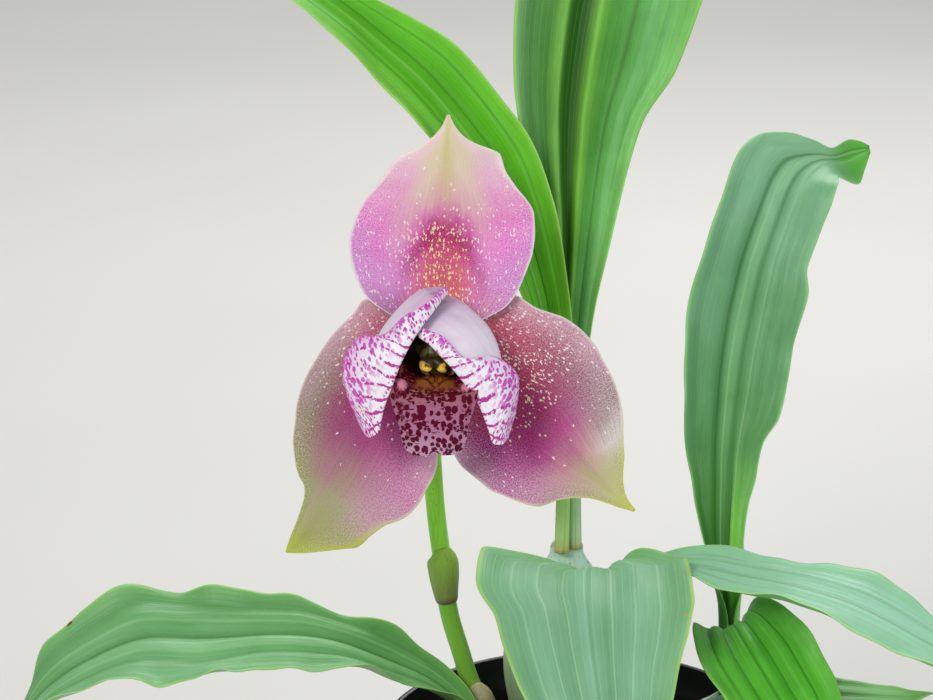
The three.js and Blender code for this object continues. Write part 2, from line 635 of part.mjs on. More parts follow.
const floralBract = {
  spine: [[-45.9, 29.5, 192], [-45.8, 30.2, 202], [-45.4, 31.5, 212], [-44.6, 31, 222], [-43.8, 28.5, 231]],
  across: [[0, 1, 0, 0], [1, 1, 0, 0]],
  minus: [[0, 7.6], [0.3, 8.6], [0.6, 7.6], [0.85, 4.2], [1, 0.5]],
  plus: [[0, 7.6], [0.3, 8.6], [0.6, 7.6], [0.85, 4.2], [1, 0.5]],
  cup: [[0, 2.05], [0.4, 1.7], [1, 0.6]],
  cells: [8, 8],
  thickness: 0.7,
};

// Flower, in its own frame: x to the right, y up the flower, z out of its face.
const ovary = {
  path: [[-2.6, -14.2, -23.4], [-2, -9, -20.8], [-1.2, -4, -15.5], [-0.5, 0, -9.5], [0, 1.6, -2.8]],
  across: [[0, 1, 0, 0], [1, 1, 0, 0]],
  radii: [[0, 2.9], [0.15, 3.4], [0.5, 3.7], [0.8, 3.6], [0.93, 5], [1, 5]],
  ridges: { count: 6, depth: 0.04 },
  cells: [10, 12],
};

const column = {
  path: [
    [0, -9.4, 4.6], [0, -5, 1.4], [0.1, 0.5, 0.6], [0.2, 4, 4.6], [-0.3, 4.4, 10], [-1.2, 1.6, 15.2],
    [-1.8, -2.4, 18.2],
  ],
  across: [[0, 1, 0, 0], [1, 1, 0, 0]],
  radii: [[0, 3.2, 1.6], [0.2, 4, 2.4], [0.4, 4.4, 3.6], [0.7, 4.3, 3.6], [0.9, 4.6, 3.4], [1, 3.6, 2.2]],
  cells: [12, 12],
};

const antherCap = {
  path: [[-5.2, -3, 19], [-3.4, -4.2, 20], [-1.4, -3.2, 20.2], [0.8, -4.4, 20.2], [2.6, -4, 19.2]],
  across: [[0, 0, 1, 0], [1, 0, 1, 0]],
  radii: [[0, 0.9], [0.2, 2.3, 1.7], [0.5, 1.5, 1.3], [0.8, 2.2, 1.7], [1, 0.9]],
  cells: [10, 10],
};

const sepals = {
  dorsal_sepal: {
    spine: [
      [0.6, 3.6, -2], [0.9, 14, -4.5], [1, 26, -5.5], [1.1, 35, -5], [1.2, 41, -2.8], [1.7, 52, 1.5],
      [2.1, 61, 4.2], [2.5, 68.7, 5.8],
    ],
    across: [[0, 1, 0, 0], [1, 1, 0, 0]],
    minus: [
      [0, 4], [0.04, 9], [0.08, 17], [0.13, 22], [0.2, 25.2], [0.29, 27.4], [0.36, 28.3], [0.42, 28.4],
      [0.5, 27.4], [0.6, 23.6], [0.66, 20.2], [0.76, 16.4], [0.8, 14.4], [0.83, 10.8], [0.875, 6.1],
      [0.91, 3.6], [0.955, 1.5], [1, 0.4],
    ],
    plus: [
      [0, 4], [0.04, 7.5], [0.08, 14], [0.13, 19.5], [0.2, 23], [0.3, 25.6], [0.38, 27], [0.46, 27.4],
      [0.58, 26.5], [0.64, 24], [0.7, 20.4], [0.76, 17.6], [0.83, 15.8], [0.85, 13.4], [0.88, 8],
      [0.915, 4.3], [0.955, 2], [1, 0.4],
    ],
    cup: [[0, 0.7], [0.1, 0.62], [0.3, 0.5], [0.5, 0.3], [0.62, 0.02], [0.8, -0.25], [1, 0]],
    wave: { height: 0.8, count: 3, phase: 0.5 },
  },
  lateral_sepal_left: {
    spine: [
      [-3.2, -0.6, -3.4], [-16.5, -11.2, -4.6], [-27.6, -25.3, -3.8], [-37.3, -43.2, -1.5], [-45, -59.4, 1],
    ],
    across: [[0, -0.6, 0.8, 0], [0.5, -0.8, 0.6, 0], [1, -0.9, 0.4, 0]],
    plus: [
      [0, 4], [0.03, 12], [0.078, 20], [0.145, 21.6], [0.226, 22], [0.323, 20.7], [0.404, 19.4],
      [0.476, 17.5], [0.526, 15.4], [0.594, 13], [0.654, 10], [0.704, 6.9], [0.734, 3.8], [0.782, 2.2],
      [0.85, 1.4], [0.95, 0.9], [1, 0.4],
    ],
    minus: [
      [0, 3.4], [0.08, 8.4], [0.15, 14], [0.22, 20], [0.301, 25.4], [0.366, 27.5], [0.43, 28.4],
      [0.556, 28.7], [0.624, 28], [0.674, 26.4], [0.73, 22.6], [0.79, 20.4], [0.857, 18.4], [0.9, 13.8],
      [0.94, 9], [0.975, 4.6], [1, 0.4],
    ],
    cup: [[0, 0.1], [0.2, 0.05], [0.45, 0.2], [0.7, 0.05], [1, 0]],
    wave: { height: 1.2, count: 2, phase: 1.5 },
  },
  lateral_sepal_right: {
    spine: [[3.4, -0.8, -3.4], [15.3, -9.4, -4.6], [30, -21.8, -3.8], [45.3, -37.6, -1.5], [57.2, -47.2, 1]],
    across: [[0, -0.6, -0.8, 0], [0.5, -0.7, -0.7, 0], [1, -0.6, -0.8, 0]],
    minus: [
      [0, 4], [0.045, 12], [0.08, 18.4], [0.108, 22.6], [0.158, 24.9], [0.216, 26.7], [0.276, 28.2],
      [0.343, 28.7], [0.424, 28], [0.484, 26.1], [0.549, 24.3], [0.619, 21.7], [0.684, 18.7], [0.764, 14],
      [0.82, 10.8], [0.862, 7.1], [0.905, 3.6], [0.952, 1.3], [1, 0.4],
    ],
    plus: [
      [0, 3.4], [0.08, 8], [0.15, 13.6], [0.22, 20], [0.278, 24], [0.348, 25.2], [0.406, 25.1],
      [0.514, 24.7], [0.591, 22.7], [0.664, 20.2], [0.714, 17.3], [0.744, 12.4], [0.782, 8.4], [0.83, 5.2],
      [0.885, 3.4], [0.945, 2], [1, 0.4],
    ],
    cup: [[0, 0.1], [0.2, 0.05], [0.45, 0.2], [0.7, 0.05], [1, 0]],
    wave: { height: 1.2, count: 2, phase: 0.3 },
  },
};

for (const sepal of Object.values(sepals)) {
  sepal.thickness = SEPAL_THICKNESS;
  sepal.cells = SEPAL_CELLS;
}

// Petals: rails from the attachment at the column, over the hood, to the fold and the lapel's free edge.
// Each rail runs from the top of the hood down to the tip of the lapel.
const petals = {
  petal_right: {
    rails: [
      [
        [0.8, 8.6, 2.2], [1.9, 7.4, 1.8], [2.9, 5.8, 1.4], [3.6, 3.8, 1.1],
        [3.9, 1.6, 1], [3.9, -0.8, 1], [3.7, -3, 1.2], [3.4, -5, 1.8],
      ],
      [
        [0.5, 16.2, 5], [6, 14, 6], [10.5, 10.2, 8], [13.8, 6.6, 10],
        [16, 2, 11.5], [17, -3, 13], [17, -8.5, 13.5], [16.4, -13.5, 13.5],
      ],
      [
        [-3, 14.8, 9.5], [-1, 11.2, 15], [4, 8, 18], [9, 3.6, 19.5],
        [12.6, -1.8, 19.8], [15.3, -7.4, 19.8], [16.2, -13.4, 19.8], [16.6, -19.5, 18.6],
      ],
      [
        [-5, 11.6, 13], [-6.2, 5.4, 20.6], [-2.4, 2, 23.5], [1.8, -2.4, 24.5],
        [6.4, -8, 24.5], [11, -14.4, 24], [13.6, -20.5, 23], [15.4, -26, 21.5],
      ],
      [
        [-4.8, 12.2, 13.9], [-5.8, 6.2, 21.8], [-0.8, 3.2, 25], [4.8, -2, 26],
        [11.4, -4.6, 24.6], [17.4, -10.2, 22.8], [18.4, -18.4, 22], [17.7, -27, 21],
      ],
      [
        [-4.4, 12.8, 14.4], [-5, 6.8, 22.4], [1, 3.8, 24.6], [7.8, -2.6, 24.4],
        [15.5, -1.8, 20.5], [22.3, -7, 17], [22.1, -16.5, 17], [19.7, -25.4, 18.5],
      ],
    ],
    mirrored: true,
  },
  petal_left: {
    rails: [
      [
        [-0.5, 8.6, 2.4], [-1.6, 7.6, 2], [-2.6, 6, 1.6], [-3.3, 4, 1.2],
        [-3.7, 1.6, 1], [-3.8, -0.8, 1], [-3.6, -3, 1.2], [-3.4, -5, 1.8],
      ],
      [
        [0.6, 17.4, 8.4], [-5, 17, 8.4], [-9.5, 13.8, 9], [-13.3, 9.6, 10.5],
        [-16.4, 5, 12], [-18, -0.5, 13.2], [-18.4, -7, 13.8], [-18, -13, 14],
      ],
      [
        [1.6, 17.3, 12], [-3.8, 14.6, 16], [-8.2, 10, 18.4], [-12, 5.4, 19.4],
        [-15.2, 0.4, 19.8], [-17.2, -5.4, 20], [-18.4, -11.6, 19.8], [-19, -17.6, 18.8],
      ],
      [
        [2.2, 16.8, 15], [-2.4, 10.6, 21.4], [-6.3, 5.2, 24.8], [-9.1, 0.4, 25.8],
        [-11.7, -5, 25.8], [-13.9, -10.8, 25.2], [-16, -16.4, 24.2], [-17.4, -22.8, 22],
      ],
      [
        [2, 17.4, 15.8], [-3.4, 11.8, 22.6], [-8.4, 7.4, 25.6], [-12.6, 2.4, 25.6],
        [-17.6, -0.8, 24.4], [-21, -7.6, 22.8], [-21.4, -15.2, 22], [-20, -25, 21],
      ],
      [
        [1.5, 18, 15.9], [-4.4, 12.8, 22.6], [-10.2, 9.4, 24], [-15.8, 4.4, 22.4],
        [-23.4, 3.4, 18.4], [-27.8, -4.5, 16.5], [-26.4, -13, 17], [-22.4, -22.4, 18.6],
      ],
    ],
    mirrored: false,
  },
};

for (const petal of Object.values(petals)) {
  petal.thickness = PETAL_THICKNESS;
  petal.cells = [12, 9];
}

// Lip: a hinged blade, troughed at the throat with raised side lobes, then bent down into a notched
// middle lobe.
const callus = { place: 0.3, length: 0.09, width: 0.42, height: 2.2 };
const lip = {
  spine: [
    [0, -9.6, 3.6], [-0.3, -8.9, 9], [-0.8, -9.6, 15], [-1.3, -12, 21], [-1.5, -15, 24.6], [-1.6, -21, 25.6],
    [-1.4, -30.2, 23],
  ],
  across: [[0, -1, 0, 0], [1, -1, 0, 0]],
  minus: [
    [0, 3.2], [0.1, 5.5], [0.22, 10], [0.36, 12.6], [0.47, 13.2], [0.55, 12], [0.62, 10.6], [0.75, 9.8],
    [0.9, 8.6], [1, 6],
  ],
  plus: [
    [0, 3.2], [0.1, 5.5], [0.22, 10], [0.36, 12.8], [0.47, 13.6], [0.55, 12.4], [0.62, 10.6], [0.75, 9.6],
    [0.9, 8.4], [1, 6],
  ],
  cup: [[0, 0.6], [0.15, 1], [0.36, 1.1], [0.5, 0.5], [0.6, 0.05], [0.8, -0.3], [1, -0.35]],
  wave: { height: 0.9, count: 6, phase: 0 },
  slide: (place, v) => (place > 0.85 ? -1.3 * ((place - 0.85) / 0.15) * Math.exp(-((v / 0.22) ** 2)) : 0),
  relief: (place, v) => {
    const along = (place - callus.place) / callus.length;
    const sideways = v / callus.width;
    return callus.height * Math.exp(-(along ** 2)) * Math.max(0, 1 - sideways ** 2);
  },
  cells: [15, 10],
  thickness: 0.9,
};

// Assembly
const plant = new THREE.Group();
const flower = new THREE.Group();
flower.position.set(...FLOWER_PLACE);
flower.rotation.x = THREE.MathUtils.degToRad(FLOWER_TILT_DEGREES);
flower.updateMatrix();
const inPlantFrame = (geometry) => geometry.applyMatrix4(flower.matrix);

const leavesOnBulb = {
  leaf_arching_left: "bulb_rear",
  leaf_upright: "bulb_rear",
  leaf_front: "bulb_front",
  leaf_right: "bulb_front",
  leaf_back_right: "bulb_right",
};

plant.add(piece("pot", potGeometry(), plastic));
plant.add(piece("rhizome", swept(rhizome), bulbSkin));
for (const [name, spec] of Object.entries(bulbs)) {
  plant.add(piece(name, cut(swept(spec), [swept(rhizome, CLEARANCE)]), bulbSkin));
}
const placedLeaves = [];
for (const [name, spec] of Object.entries(leaves)) {
  const carrier = leavesOnBulb[name];
  const cutters = placedLeaves.map((other) => blade(leaves[other], CLEARANCE));
  if (carrier) cutters.push(swept(bulbs[carrier], CLEARANCE));
  plant.add(piece(name, cut(blade(spec), cutters), leafGreen));
  placedLeaves.push(name);
}
plant.add(piece("scape", cut(swept(scape), [inPlantFrame(swept(ovary, CLEARANCE))]), stalkGreen));
plant.add(piece("scape_bract", sleeve(0.435, 0.59, 0.95), stalkGreen));
plant.add(piece("scape_base_bract", sleeve(0.05, 0.205, 0.7), stalkGreen));
const bractCutters = [inPlantFrame(swept(ovary, CLEARANCE))];
plant.add(piece("floral_bract", cut(blade(floralBract), bractCutters), stalkGreen));

const mixCutters = [
  ...Object.values(bulbs).map((spec) => swept(spec, CLEARANCE)),
  ...["leaf_left", "leaf_small_right", "leaf_low_right"].map((name) => blade(leaves[name], CLEARANCE)),
  swept(rhizome, CLEARANCE),
  swept({ ...scape, radii: [[0, SCAPE_RADIUS + 2.6], [0.3, SCAPE_RADIUS + 2.6], [1, SCAPE_RADIUS]] }),
];
plant.add(piece("bark_mix", mixGeometry(mixCutters), bark));

const flowerCutters = [swept(ovary, CLEARANCE)];
flower.add(piece("ovary", swept(ovary), stalkGreen));
flower.add(piece("column", cut(swept(column), flowerCutters), stalkGreen));
flowerCutters.push(swept(column, CLEARANCE));
flower.add(piece("anther_cap", cut(swept(antherCap), flowerCutters), antherYellow));
for (const [name, spec] of Object.entries(sepals)) {
  flower.add(piece(name, cut(blade(spec), flowerCutters), sepalPink));
  flowerCutters.push(blade(spec, CLEARANCE));
}
flower.add(piece("lip", cut(blade(lip), flowerCutters), lipSpotted));
flowerCutters.push(blade(lip, CLEARANCE));
for (const [name, spec] of Object.entries(petals)) {
  flower.add(piece(name, cut(railSheet(spec), flowerCutters), petalWhite));
  flowerCutters.push(railSheet(spec, CLEARANCE));
}

const orchid = new THREE.Group();
orchid.add(plant, flower);

export default orchid;
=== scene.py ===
import math

import bpy
import numpy as np
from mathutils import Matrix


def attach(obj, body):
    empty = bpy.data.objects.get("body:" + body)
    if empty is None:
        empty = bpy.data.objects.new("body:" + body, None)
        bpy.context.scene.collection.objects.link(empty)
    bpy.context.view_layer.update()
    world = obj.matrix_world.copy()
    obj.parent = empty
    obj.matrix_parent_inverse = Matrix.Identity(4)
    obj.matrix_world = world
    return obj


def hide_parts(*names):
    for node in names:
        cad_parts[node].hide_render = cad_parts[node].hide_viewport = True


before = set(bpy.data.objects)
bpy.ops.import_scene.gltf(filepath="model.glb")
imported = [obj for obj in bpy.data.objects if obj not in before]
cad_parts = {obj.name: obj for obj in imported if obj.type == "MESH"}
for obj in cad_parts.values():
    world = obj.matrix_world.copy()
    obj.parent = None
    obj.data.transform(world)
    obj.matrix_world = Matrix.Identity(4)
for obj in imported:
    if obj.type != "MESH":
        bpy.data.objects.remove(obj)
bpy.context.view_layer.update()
millimetre = 0.001
print("frame loaded:", len(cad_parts), "nodes")


# Camera, light and floor
camera = {
    "place": (-0.0352, -0.7533, 0.4726),
    "tilt": 72,  # degrees up from straight down
    "lens": 105,
    "sensor": 36,
}

studio = {
    "sky": "#e9edf2",
    "skyStrength": 0.4,
    "floor": "#d9d7d2",
    "floorSize": 24.0,
    "lights": {  # place, aim, size in metres, watts, colour
        "key": ((-0.75, -1.25, 1.25), (0, 0, 0.2), 0.7, 18, "#fffdfa"),
        "fill": ((1.15, -0.95, 0.75), (0, 0, 0.2), 0.9, 7, "#eef4ff"),
        "rim": ((0.35, 1.0, 1.15), (0, 0, 0.25), 0.8, 9, "#ffffff"),
        "floor": ((0, 2.0, 2.0), (0, 2.0, 0), 1.6, 16, "#ffffff"),
    },
}


def tint(code):  # #rrggbb as Blender's linear colour
    channels = [int(code[i:i + 2], 16) / 255 for i in (1, 3, 5)]
    linear = [c / 12.92 if c <= 0.04045 else ((c + 0.055) / 1.055) ** 2.4 for c in channels]
    return (*linear, 1.0)


def linked(name, data):
    made = bpy.data.objects.new(name, data)
    bpy.context.scene.collection.objects.link(made)
    return made


def aimAt(made, target):
    offset = np.array(target) - np.array(made.location)
    flat = math.hypot(offset[0], offset[1])
    made.rotation_euler = (math.atan2(flat, -offset[2]), 0, math.atan2(offset[1], offset[0]) - math.pi / 2)


def makeStudio():
    data = bpy.data.cameras.new("camera")
    data.lens = camera["lens"]
    data.sensor_width = camera["sensor"]
    data.clip_start = 0.02
    made = linked("camera", data)
    made.location = camera["place"]
    made.rotation_euler = (math.radians(camera["tilt"]), 0, 0)
    bpy.context.scene.camera = made
    for name, (place, target, size, watts, colour) in studio["lights"].items():
        light = bpy.data.lights.new(name, "AREA")
        light.shape = "DISK"
        light.size = size
        light.energy = watts
        light.color = tint(colour)[:3]
        lamp = linked(name, light)
        lamp.location = place
        aimAt(lamp, target)
    world = bpy.data.worlds.new("studio")
    world.use_nodes = True
    sky = world.node_tree.nodes["Background"]
    sky.inputs["Color"].default_value = tint(studio["sky"])
    sky.inputs["Strength"].default_value = studio["skyStrength"]
    bpy.context.scene.world = world


# Curves
def rowCurve(rows):  # a smooth curve through (place, value) rows that never overshoots them
    places, values = np.array(rows, float).T
    steps = np.diff(places)
    slopes = np.diff(values) / steps
    tangents = np.concatenate([slopes[:1], np.zeros(len(slopes) - 1), slopes[-1:]])
    for i in range(1, len(slopes)):
        if slopes[i - 1] * slopes[i] > 0:
            tangents[i] = 2 * slopes[i - 1] * slopes[i] / (slopes[i - 1] + slopes[i])

    def value(place):
        place = np.clip(place, places[0], places[-1])
        i = np.clip(np.searchsorted(places, place, side="right") - 1, 0, len(steps) - 1)
        t = (place - places[i]) / steps[i]
        rise = values[i + 1] - values[i]
        a = steps[i] * tangents[i] - rise
        b = rise - steps[i] * tangents[i + 1]
        return values[i] + t * rise + t * (1 - t) * (a * (1 - t) + b * t)

    return value


def unit(vectors):
    return vectors / np.maximum(np.linalg.norm(vectors, axis=-1, keepdims=True), 1e-9)


def splineAt(points, time):  # points through Catmull-Rom pieces, time in point numbers
    points = np.asarray(points, float)
    padded = np.concatenate([2 * points[:1] - points[1:2], points, 2 * points[-1:] - points[-2:-1]])
    i = np.clip(np.floor(time).astype(int), 0, len(points) - 2)
    t = (time - i).reshape(-1, *([1] * (points.ndim - 1)))
    before, start, end, after = (padded[i + k] for k in range(4))
    leave, arrive = (end - before) / 2, (after - start) / 2
    square = -3 * start + 3 * end - 2 * leave - arrive
    return ((2 * start - 2 * end + leave + arrive) * t + square) * t * t + leave * t + start


def pathFrames(path, across, place):  # point, direction, way across and upper normal along a path
    last = len(path) - 1
    table = np.linspace(0, last, 401)
    steps = np.linalg.norm(np.diff(splineAt(path, table), axis=0), axis=1)
    travelled = np.concatenate([[0], np.cumsum(steps)])
    time = np.interp(place, travelled / travelled[-1], table)
    ahead = splineAt(path, np.minimum(time + 1e-3, last))
    behind = splineAt(path, np.maximum(time - 1e-3, 0))
    tangent = unit(ahead - behind)
    ways = [rowCurve([(row[0], row[axis]) for row in across])(place) for axis in (1, 2, 3)]
    way = np.stack(ways, axis=-1)
    way = unit(way - tangent * np.sum(way * tangent, axis=-1, keepdims=True))
    return {
        "point": splineAt(path, time),
        "tangent": tangent,
        "across": way,
        "normal": np.cross(way, tangent),
        "length": travelled[-1],
    }


levelAcross = [(0, 1, 0, 0), (1, 1, 0, 0)]  # place, then the way across: along X from end to end


# Meshes
def meshPiece(name, points, faces, maps, materials, slots=None):
    mesh = bpy.data.meshes.new(name)
    mesh.from_pydata((points * millimetre).tolist(), [], faces)
    for layerName, corners in maps.items():
        layer = mesh.uv_layers.new(name=layerName, do_init=False)
        layer.data.foreach_set("uv", np.asarray(corners, np.float32).ravel())
    for material in materials:
        mesh.materials.append(material)
    if slots is not None:
        mesh.polygons.foreach_set("material_index", np.asarray(slots, np.int32))
    mesh.shade_smooth()
    mesh.validate()
    return linked(name, mesh)


def camelName(node):
    first, *rest = node.split("_")
    return first + "".join(word.capitalize() for word in rest)


def seat(piece, slot, *nodes):
    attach(piece, "root")
    if nodes:
        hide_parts(*nodes)
    return piece


# A thin sheet from a grid of points. share maps it (across, along) from 0 to 1, and real in centimetres.
def sheetPiece(name, grid, thickness, share, real, materials, relief=0.0):
    rows, columns = grid.shape[:2]
    normal = unit(np.cross(np.gradient(grid, axis=1), np.gradient(grid, axis=0)))
    upper = grid + normal * (thickness / 2 + relief)[..., None]
    lower = grid - normal * (thickness / 2)[..., None]
    count = rows * columns
    index = np.arange(count).reshape(rows, columns)
    quads = np.stack([index[:-1, :-1], index[:-1, 1:], index[1:, 1:], index[1:, :-1]], axis=-1).reshape(-1, 4)
    under = quads[:, ::-1] + count
    border = np.concatenate([
        np.stack([index[:-1, 0], index[1:, 0], index[1:, 0] + count, index[:-1, 0] + count], axis=-1),
        np.stack([index[:-1, -1], index[:-1, -1] + count, index[1:, -1] + count, index[1:, -1]], axis=-1),
        np.stack([index[-1, :-1], index[-1, 1:], index[-1, 1:] + count, index[-1, :-1] + count], axis=-1),
        np.stack([index[0, :-1], index[0, :-1] + count, index[0, 1:] + count, index[0, 1:]], axis=-1),
    ])
    faces = np.concatenate([quads, under, border])
    slots = np.concatenate([np.zeros(len(quads)), np.ones(len(under)), np.zeros(len(border))])
    points = np.concatenate([upper.reshape(-1, 3), lower.reshape(-1, 3)])
    maps = {}
    for layerName, coordinates in (("share", share), ("real", real)):
        flat = coordinates.reshape(-1, 2)
        maps[layerName] = np.concatenate([flat, flat])[faces.ravel()]
    return meshPiece(name, points, faces.tolist(), maps, materials, slots)


# A bulb, stalk or column from rings of points. A loop of rings is a tube wall, else both ends are capped.
def ringPiece(name, rings, materials, loop=False, slots=None):
    count, sides = rings.shape[:2]
    faces, shareMap = [], []
    stretches = count if loop else count - 1
    for i in range(stretches):
        here, there = i * sides, ((i + 1) % count) * sides
        low, high = i / stretches, (i + 1) / stretches
        for k in range(sides):
            after = (k + 1) % sides
            faces.append([here + k, here + after, there + after, there + k])
            left, right = k / sides, (k + 1) / sides
            shareMap += [(left, low), (right, low), (right, high), (left, high)]
    points = rings.reshape(-1, 3)
    if not loop:
        for ring in (0, count - 1):
            points = np.concatenate([points, rings[ring].mean(axis=0, keepdims=True)])
            for k in range(sides):
                edge = [ring * sides + k, ring * sides + (k + 1) % sides]
                faces.append([len(points) - 1, *(edge if ring else reversed(edge))])
                shareMap += [(k / sides, ring / (count - 1))] * 3
    return meshPiece(name, points, faces, {"share": shareMap}, materials, slots)


def ringsAlong(spec, shape=None):  # shape(place, angle) scales the radius
    place = np.linspace(0, 1, spec["rings"] + 1)
    frames = pathFrames(spec["path"], spec.get("across", levelAcross), place)
    angle = np.linspace(0, 2 * math.pi, spec["sides"], endpoint=False)[None, :]
    wide = rowCurve([(row[0], row[1]) for row in spec["radii"]])(place)[:, None]
    deep = rowCurve([(row[0], row[-1]) for row in spec["radii"]])(place)[:, None]
    count, depth = spec.get("ridges", (0, 0))
    scale = 1 + depth * np.cos(count * angle)
    if shape:
        scale = scale * shape(place[:, None], angle)
    sideways = (wide * scale * np.cos(angle))[..., None] * frames["across"][:, None]
    outward = (deep * scale * np.sin(angle))[..., None] * frames["normal"][:, None]
    return frames["point"][:, None] + sideways - outward


# A leaf, sepal or lip: a spine, a half-width on each side of it, a trough, rounded pleats and waved edges.
def bladeGrid(spec):
    along, wide = spec["cells"]
    place = np.linspace(0, 1, along + 1)[:, None]
    side = np.linspace(-1, 1, wide + 1)[None, :]
    frames = pathFrames(spec["spine"], spec.get("across", levelAcross), place[:, 0])
    plus = spec.get("plus", spec["minus"])
    width = np.where(side < 0, rowCurve(spec["minus"])(place), rowCurve(plus)(place))
    width = np.maximum(width, 0.4)
    cup = rowCurve(spec["cup"])(place)
    cup = np.where(np.abs(cup) < 1e-3, 1e-3, cup)
    fold = rowCurve(spec.get("fold", [(0, 0), (1, 0)]))(place)
    reach = np.abs(side)
    turn = fold + cup * reach
    lateral = np.sign(side) * width * (np.sin(turn) - np.sin(fold)) / cup
    rise = width * (np.cos(fold) - np.cos(turn)) / cup
    freedom = np.minimum(1, width / 16) ** 2
    crest = 0.6 * np.cos(4 * math.pi * side) + 0.4 * (4 * np.abs(2 * side % 1 - 0.5) - 1)
    inner = (1 - np.clip((reach - 0.75) / 0.25, 0, 1) ** 2) * np.clip((1 - place) / 0.3, 0, 1)
    rise = rise + spec.get("pleat", 0) * freedom * crest * inner
    for middle, depth, spread in spec.get("creases", ()):  # down where depth is positive, else up
        rise = rise - depth * np.minimum(1, width / 10) * inner * np.exp(-np.abs(side - middle) / spread)
    for height, count, phase, lag in spec.get("waves", ()):
        swing = np.sin(2 * math.pi * count * place + phase + np.where(side < 0, -lag, lag))
        rise = rise + height * freedom * reach ** 3 * swing
    slide = spec["slide"](place, side) if "slide" in spec else 0 * rise
    grid = frames["point"][:, None] + lateral[..., None] * frames["across"][:, None]
    grid = grid + rise[..., None] * frames["normal"][:, None] + slide[..., None] * frames["tangent"][:, None]
    share = np.stack([(side + 1) / 2 + 0 * place, place + 0 * side], axis=-1)
    real = np.stack([side * width, frames["length"] * place + 0 * side], axis=-1) / 10
    return grid, share, real, reach + 0 * place, place + 0 * side


def bladePiece(name, spec, materials, toWorld=None):
    grid, share, real, reach, place = bladeGrid(spec)
    if toWorld:
        grid = toWorld(grid)
    edge = 1 - 0.68 * reach ** 4
    thickness = spec["thickness"] * edge * (1 - 0.4 * np.clip((place - 0.9) / 0.1, 0, 1))
    relief = spec["relief"](place, share[..., 0] * 2 - 1) if "relief" in spec else 0 * place
    return sheetPiece(name, grid, thickness, share, real, materials, relief)


# Shader trees
class Board:  # adds and links the nodes of one tree
    def __init__(self, tree):
        self.tree = tree

    def add(self, kind, inputs=None, **settings):
        node = self.tree.nodes.new(kind)
        for key, setting in settings.items():
            setattr(node, key, setting)
        for key, value in (inputs or {}).items():
            self.feed(node.inputs[key], value)
        return node

    def feed(self, socket, value):
        if isinstance(value, bpy.types.NodeSocket):
            self.tree.links.new(value, socket)
        elif isinstance(value, str) and value.startswith("#"):
            socket.default_value = tint(value)
        else:
            socket.default_value = value

    def math(self, operation, *values):
        return self.add("ShaderNodeMath", dict(enumerate(values)), operation=operation).outputs[0]

    def times(self, *values):
        return self.math("MULTIPLY", *values)

    def timesPlus(self, value, factor, offset):
        return self.math("MULTIPLY_ADD", value, factor, offset)

    def plus(self, *values):
        return self.math("ADD", *values)

    def minus(self, *values):
        return self.math("SUBTRACT", *values)

    def larger(self, *values):
        return self.math("MAXIMUM", *values)

    def positive(self, value):
        return self.math("ABSOLUTE", value)

    def vector(self, operation, first, second=None):
        inputs = {0: first}
        if second is not None:
            inputs["Scale" if operation == "SCALE" else 1] = second
        outputs = self.add("ShaderNodeVectorMath", inputs, operation=operation).outputs
        return outputs[1 if operation == "LENGTH" else 0]

    def mix(self, share, low, high, blend="MIX"):
        node = self.add("ShaderNodeMix", {0: share, 6: low, 7: high}, data_type="RGBA", blend_type=blend)
        return node.outputs[2]

    def span(self, value, low, high, start=0.0, end=1.0):  # eased from start at low to end at high
        inputs = {0: value, 1: low, 2: high, 3: start, 4: end}
        return self.add("ShaderNodeMapRange", inputs, interpolation_type="SMOOTHSTEP").outputs[0]

    def hump(self, value, middle, spread):  # 1 at the middle, 0 past the spread
        return self.span(self.positive(self.minus(value, middle)), spread, 0.0)

    def ramp(self, value, stops):
        node = self.add("ShaderNodeValToRGB", {0: value})
        elements = node.color_ramp.elements
        elements[0].position, elements[1].position = stops[0][0], stops[-1][0]
        elements[0].color, elements[1].color = tint(stops[0][1]), tint(stops[-1][1])
        for place, code in stops[1:-1]:
            elements.new(place).color = tint(code)
        return node.outputs[0]

    def noise(self, vector, scale, detail=2.0, roughness=0.5):
        inputs = {"Vector": vector, "Scale": scale, "Detail": detail, "Roughness": roughness}
        return self.add("ShaderNodeTexNoise", inputs).outputs[0]

    def drift(self, vector, *settings):  # noise round 0
        return self.minus(self.noise(vector, *settings), 0.5)

    def push(self, vector, scale, amount):  # a random shift every way
        shift = self.add("ShaderNodeTexNoise", {"Vector": vector, "Scale": scale, "Detail": 2.0}).outputs[1]
        return self.vector("SCALE", self.vector("SUBTRACT", shift, (0.5, 0.5, 0.5)), amount)

    def stretch(self, vector, *factors):
        return self.vector("MULTIPLY", vector, factors)

    def map(self, name):
        return self.add("ShaderNodeUVMap", uv_map=name).outputs[0]

    def place(self):
        return self.add("ShaderNodeTexCoord").outputs["Object"]

    def parts(self, vector):
        return self.add("ShaderNodeSeparateXYZ", {0: vector}).outputs

    def joined(self, x, y):
        return self.add("ShaderNodeCombineXYZ", {0: x, 1: y}).outputs[0]

    def group(self, tree, inputs):
        return self.add("ShaderNodeGroup", inputs, node_tree=tree).outputs[0]

    def bump(self, height, strength, depth):  # depth in metres
        inputs = {"Strength": strength, "Distance": depth, "Height": height}
        return self.add("ShaderNodeBump", inputs).outputs[0]


def shaderGroup(name, inputs, output):
    tree = bpy.data.node_groups.new(name, "ShaderNodeTree")
    for key, default in inputs.items():
        kind = "NodeSocketVector" if key == "Vector" else "NodeSocketFloat"
        socket = tree.interface.new_socket(key, in_out="INPUT", socket_type=kind)
        if key != "Vector":
            socket.default_value = default
    tree.interface.new_socket(output, in_out="OUTPUT", socket_type="NodeSocketFloat")
    board = Board(tree)
    return board, board.add("NodeGroupInput").outputs, board.add("NodeGroupOutput").inputs[0]


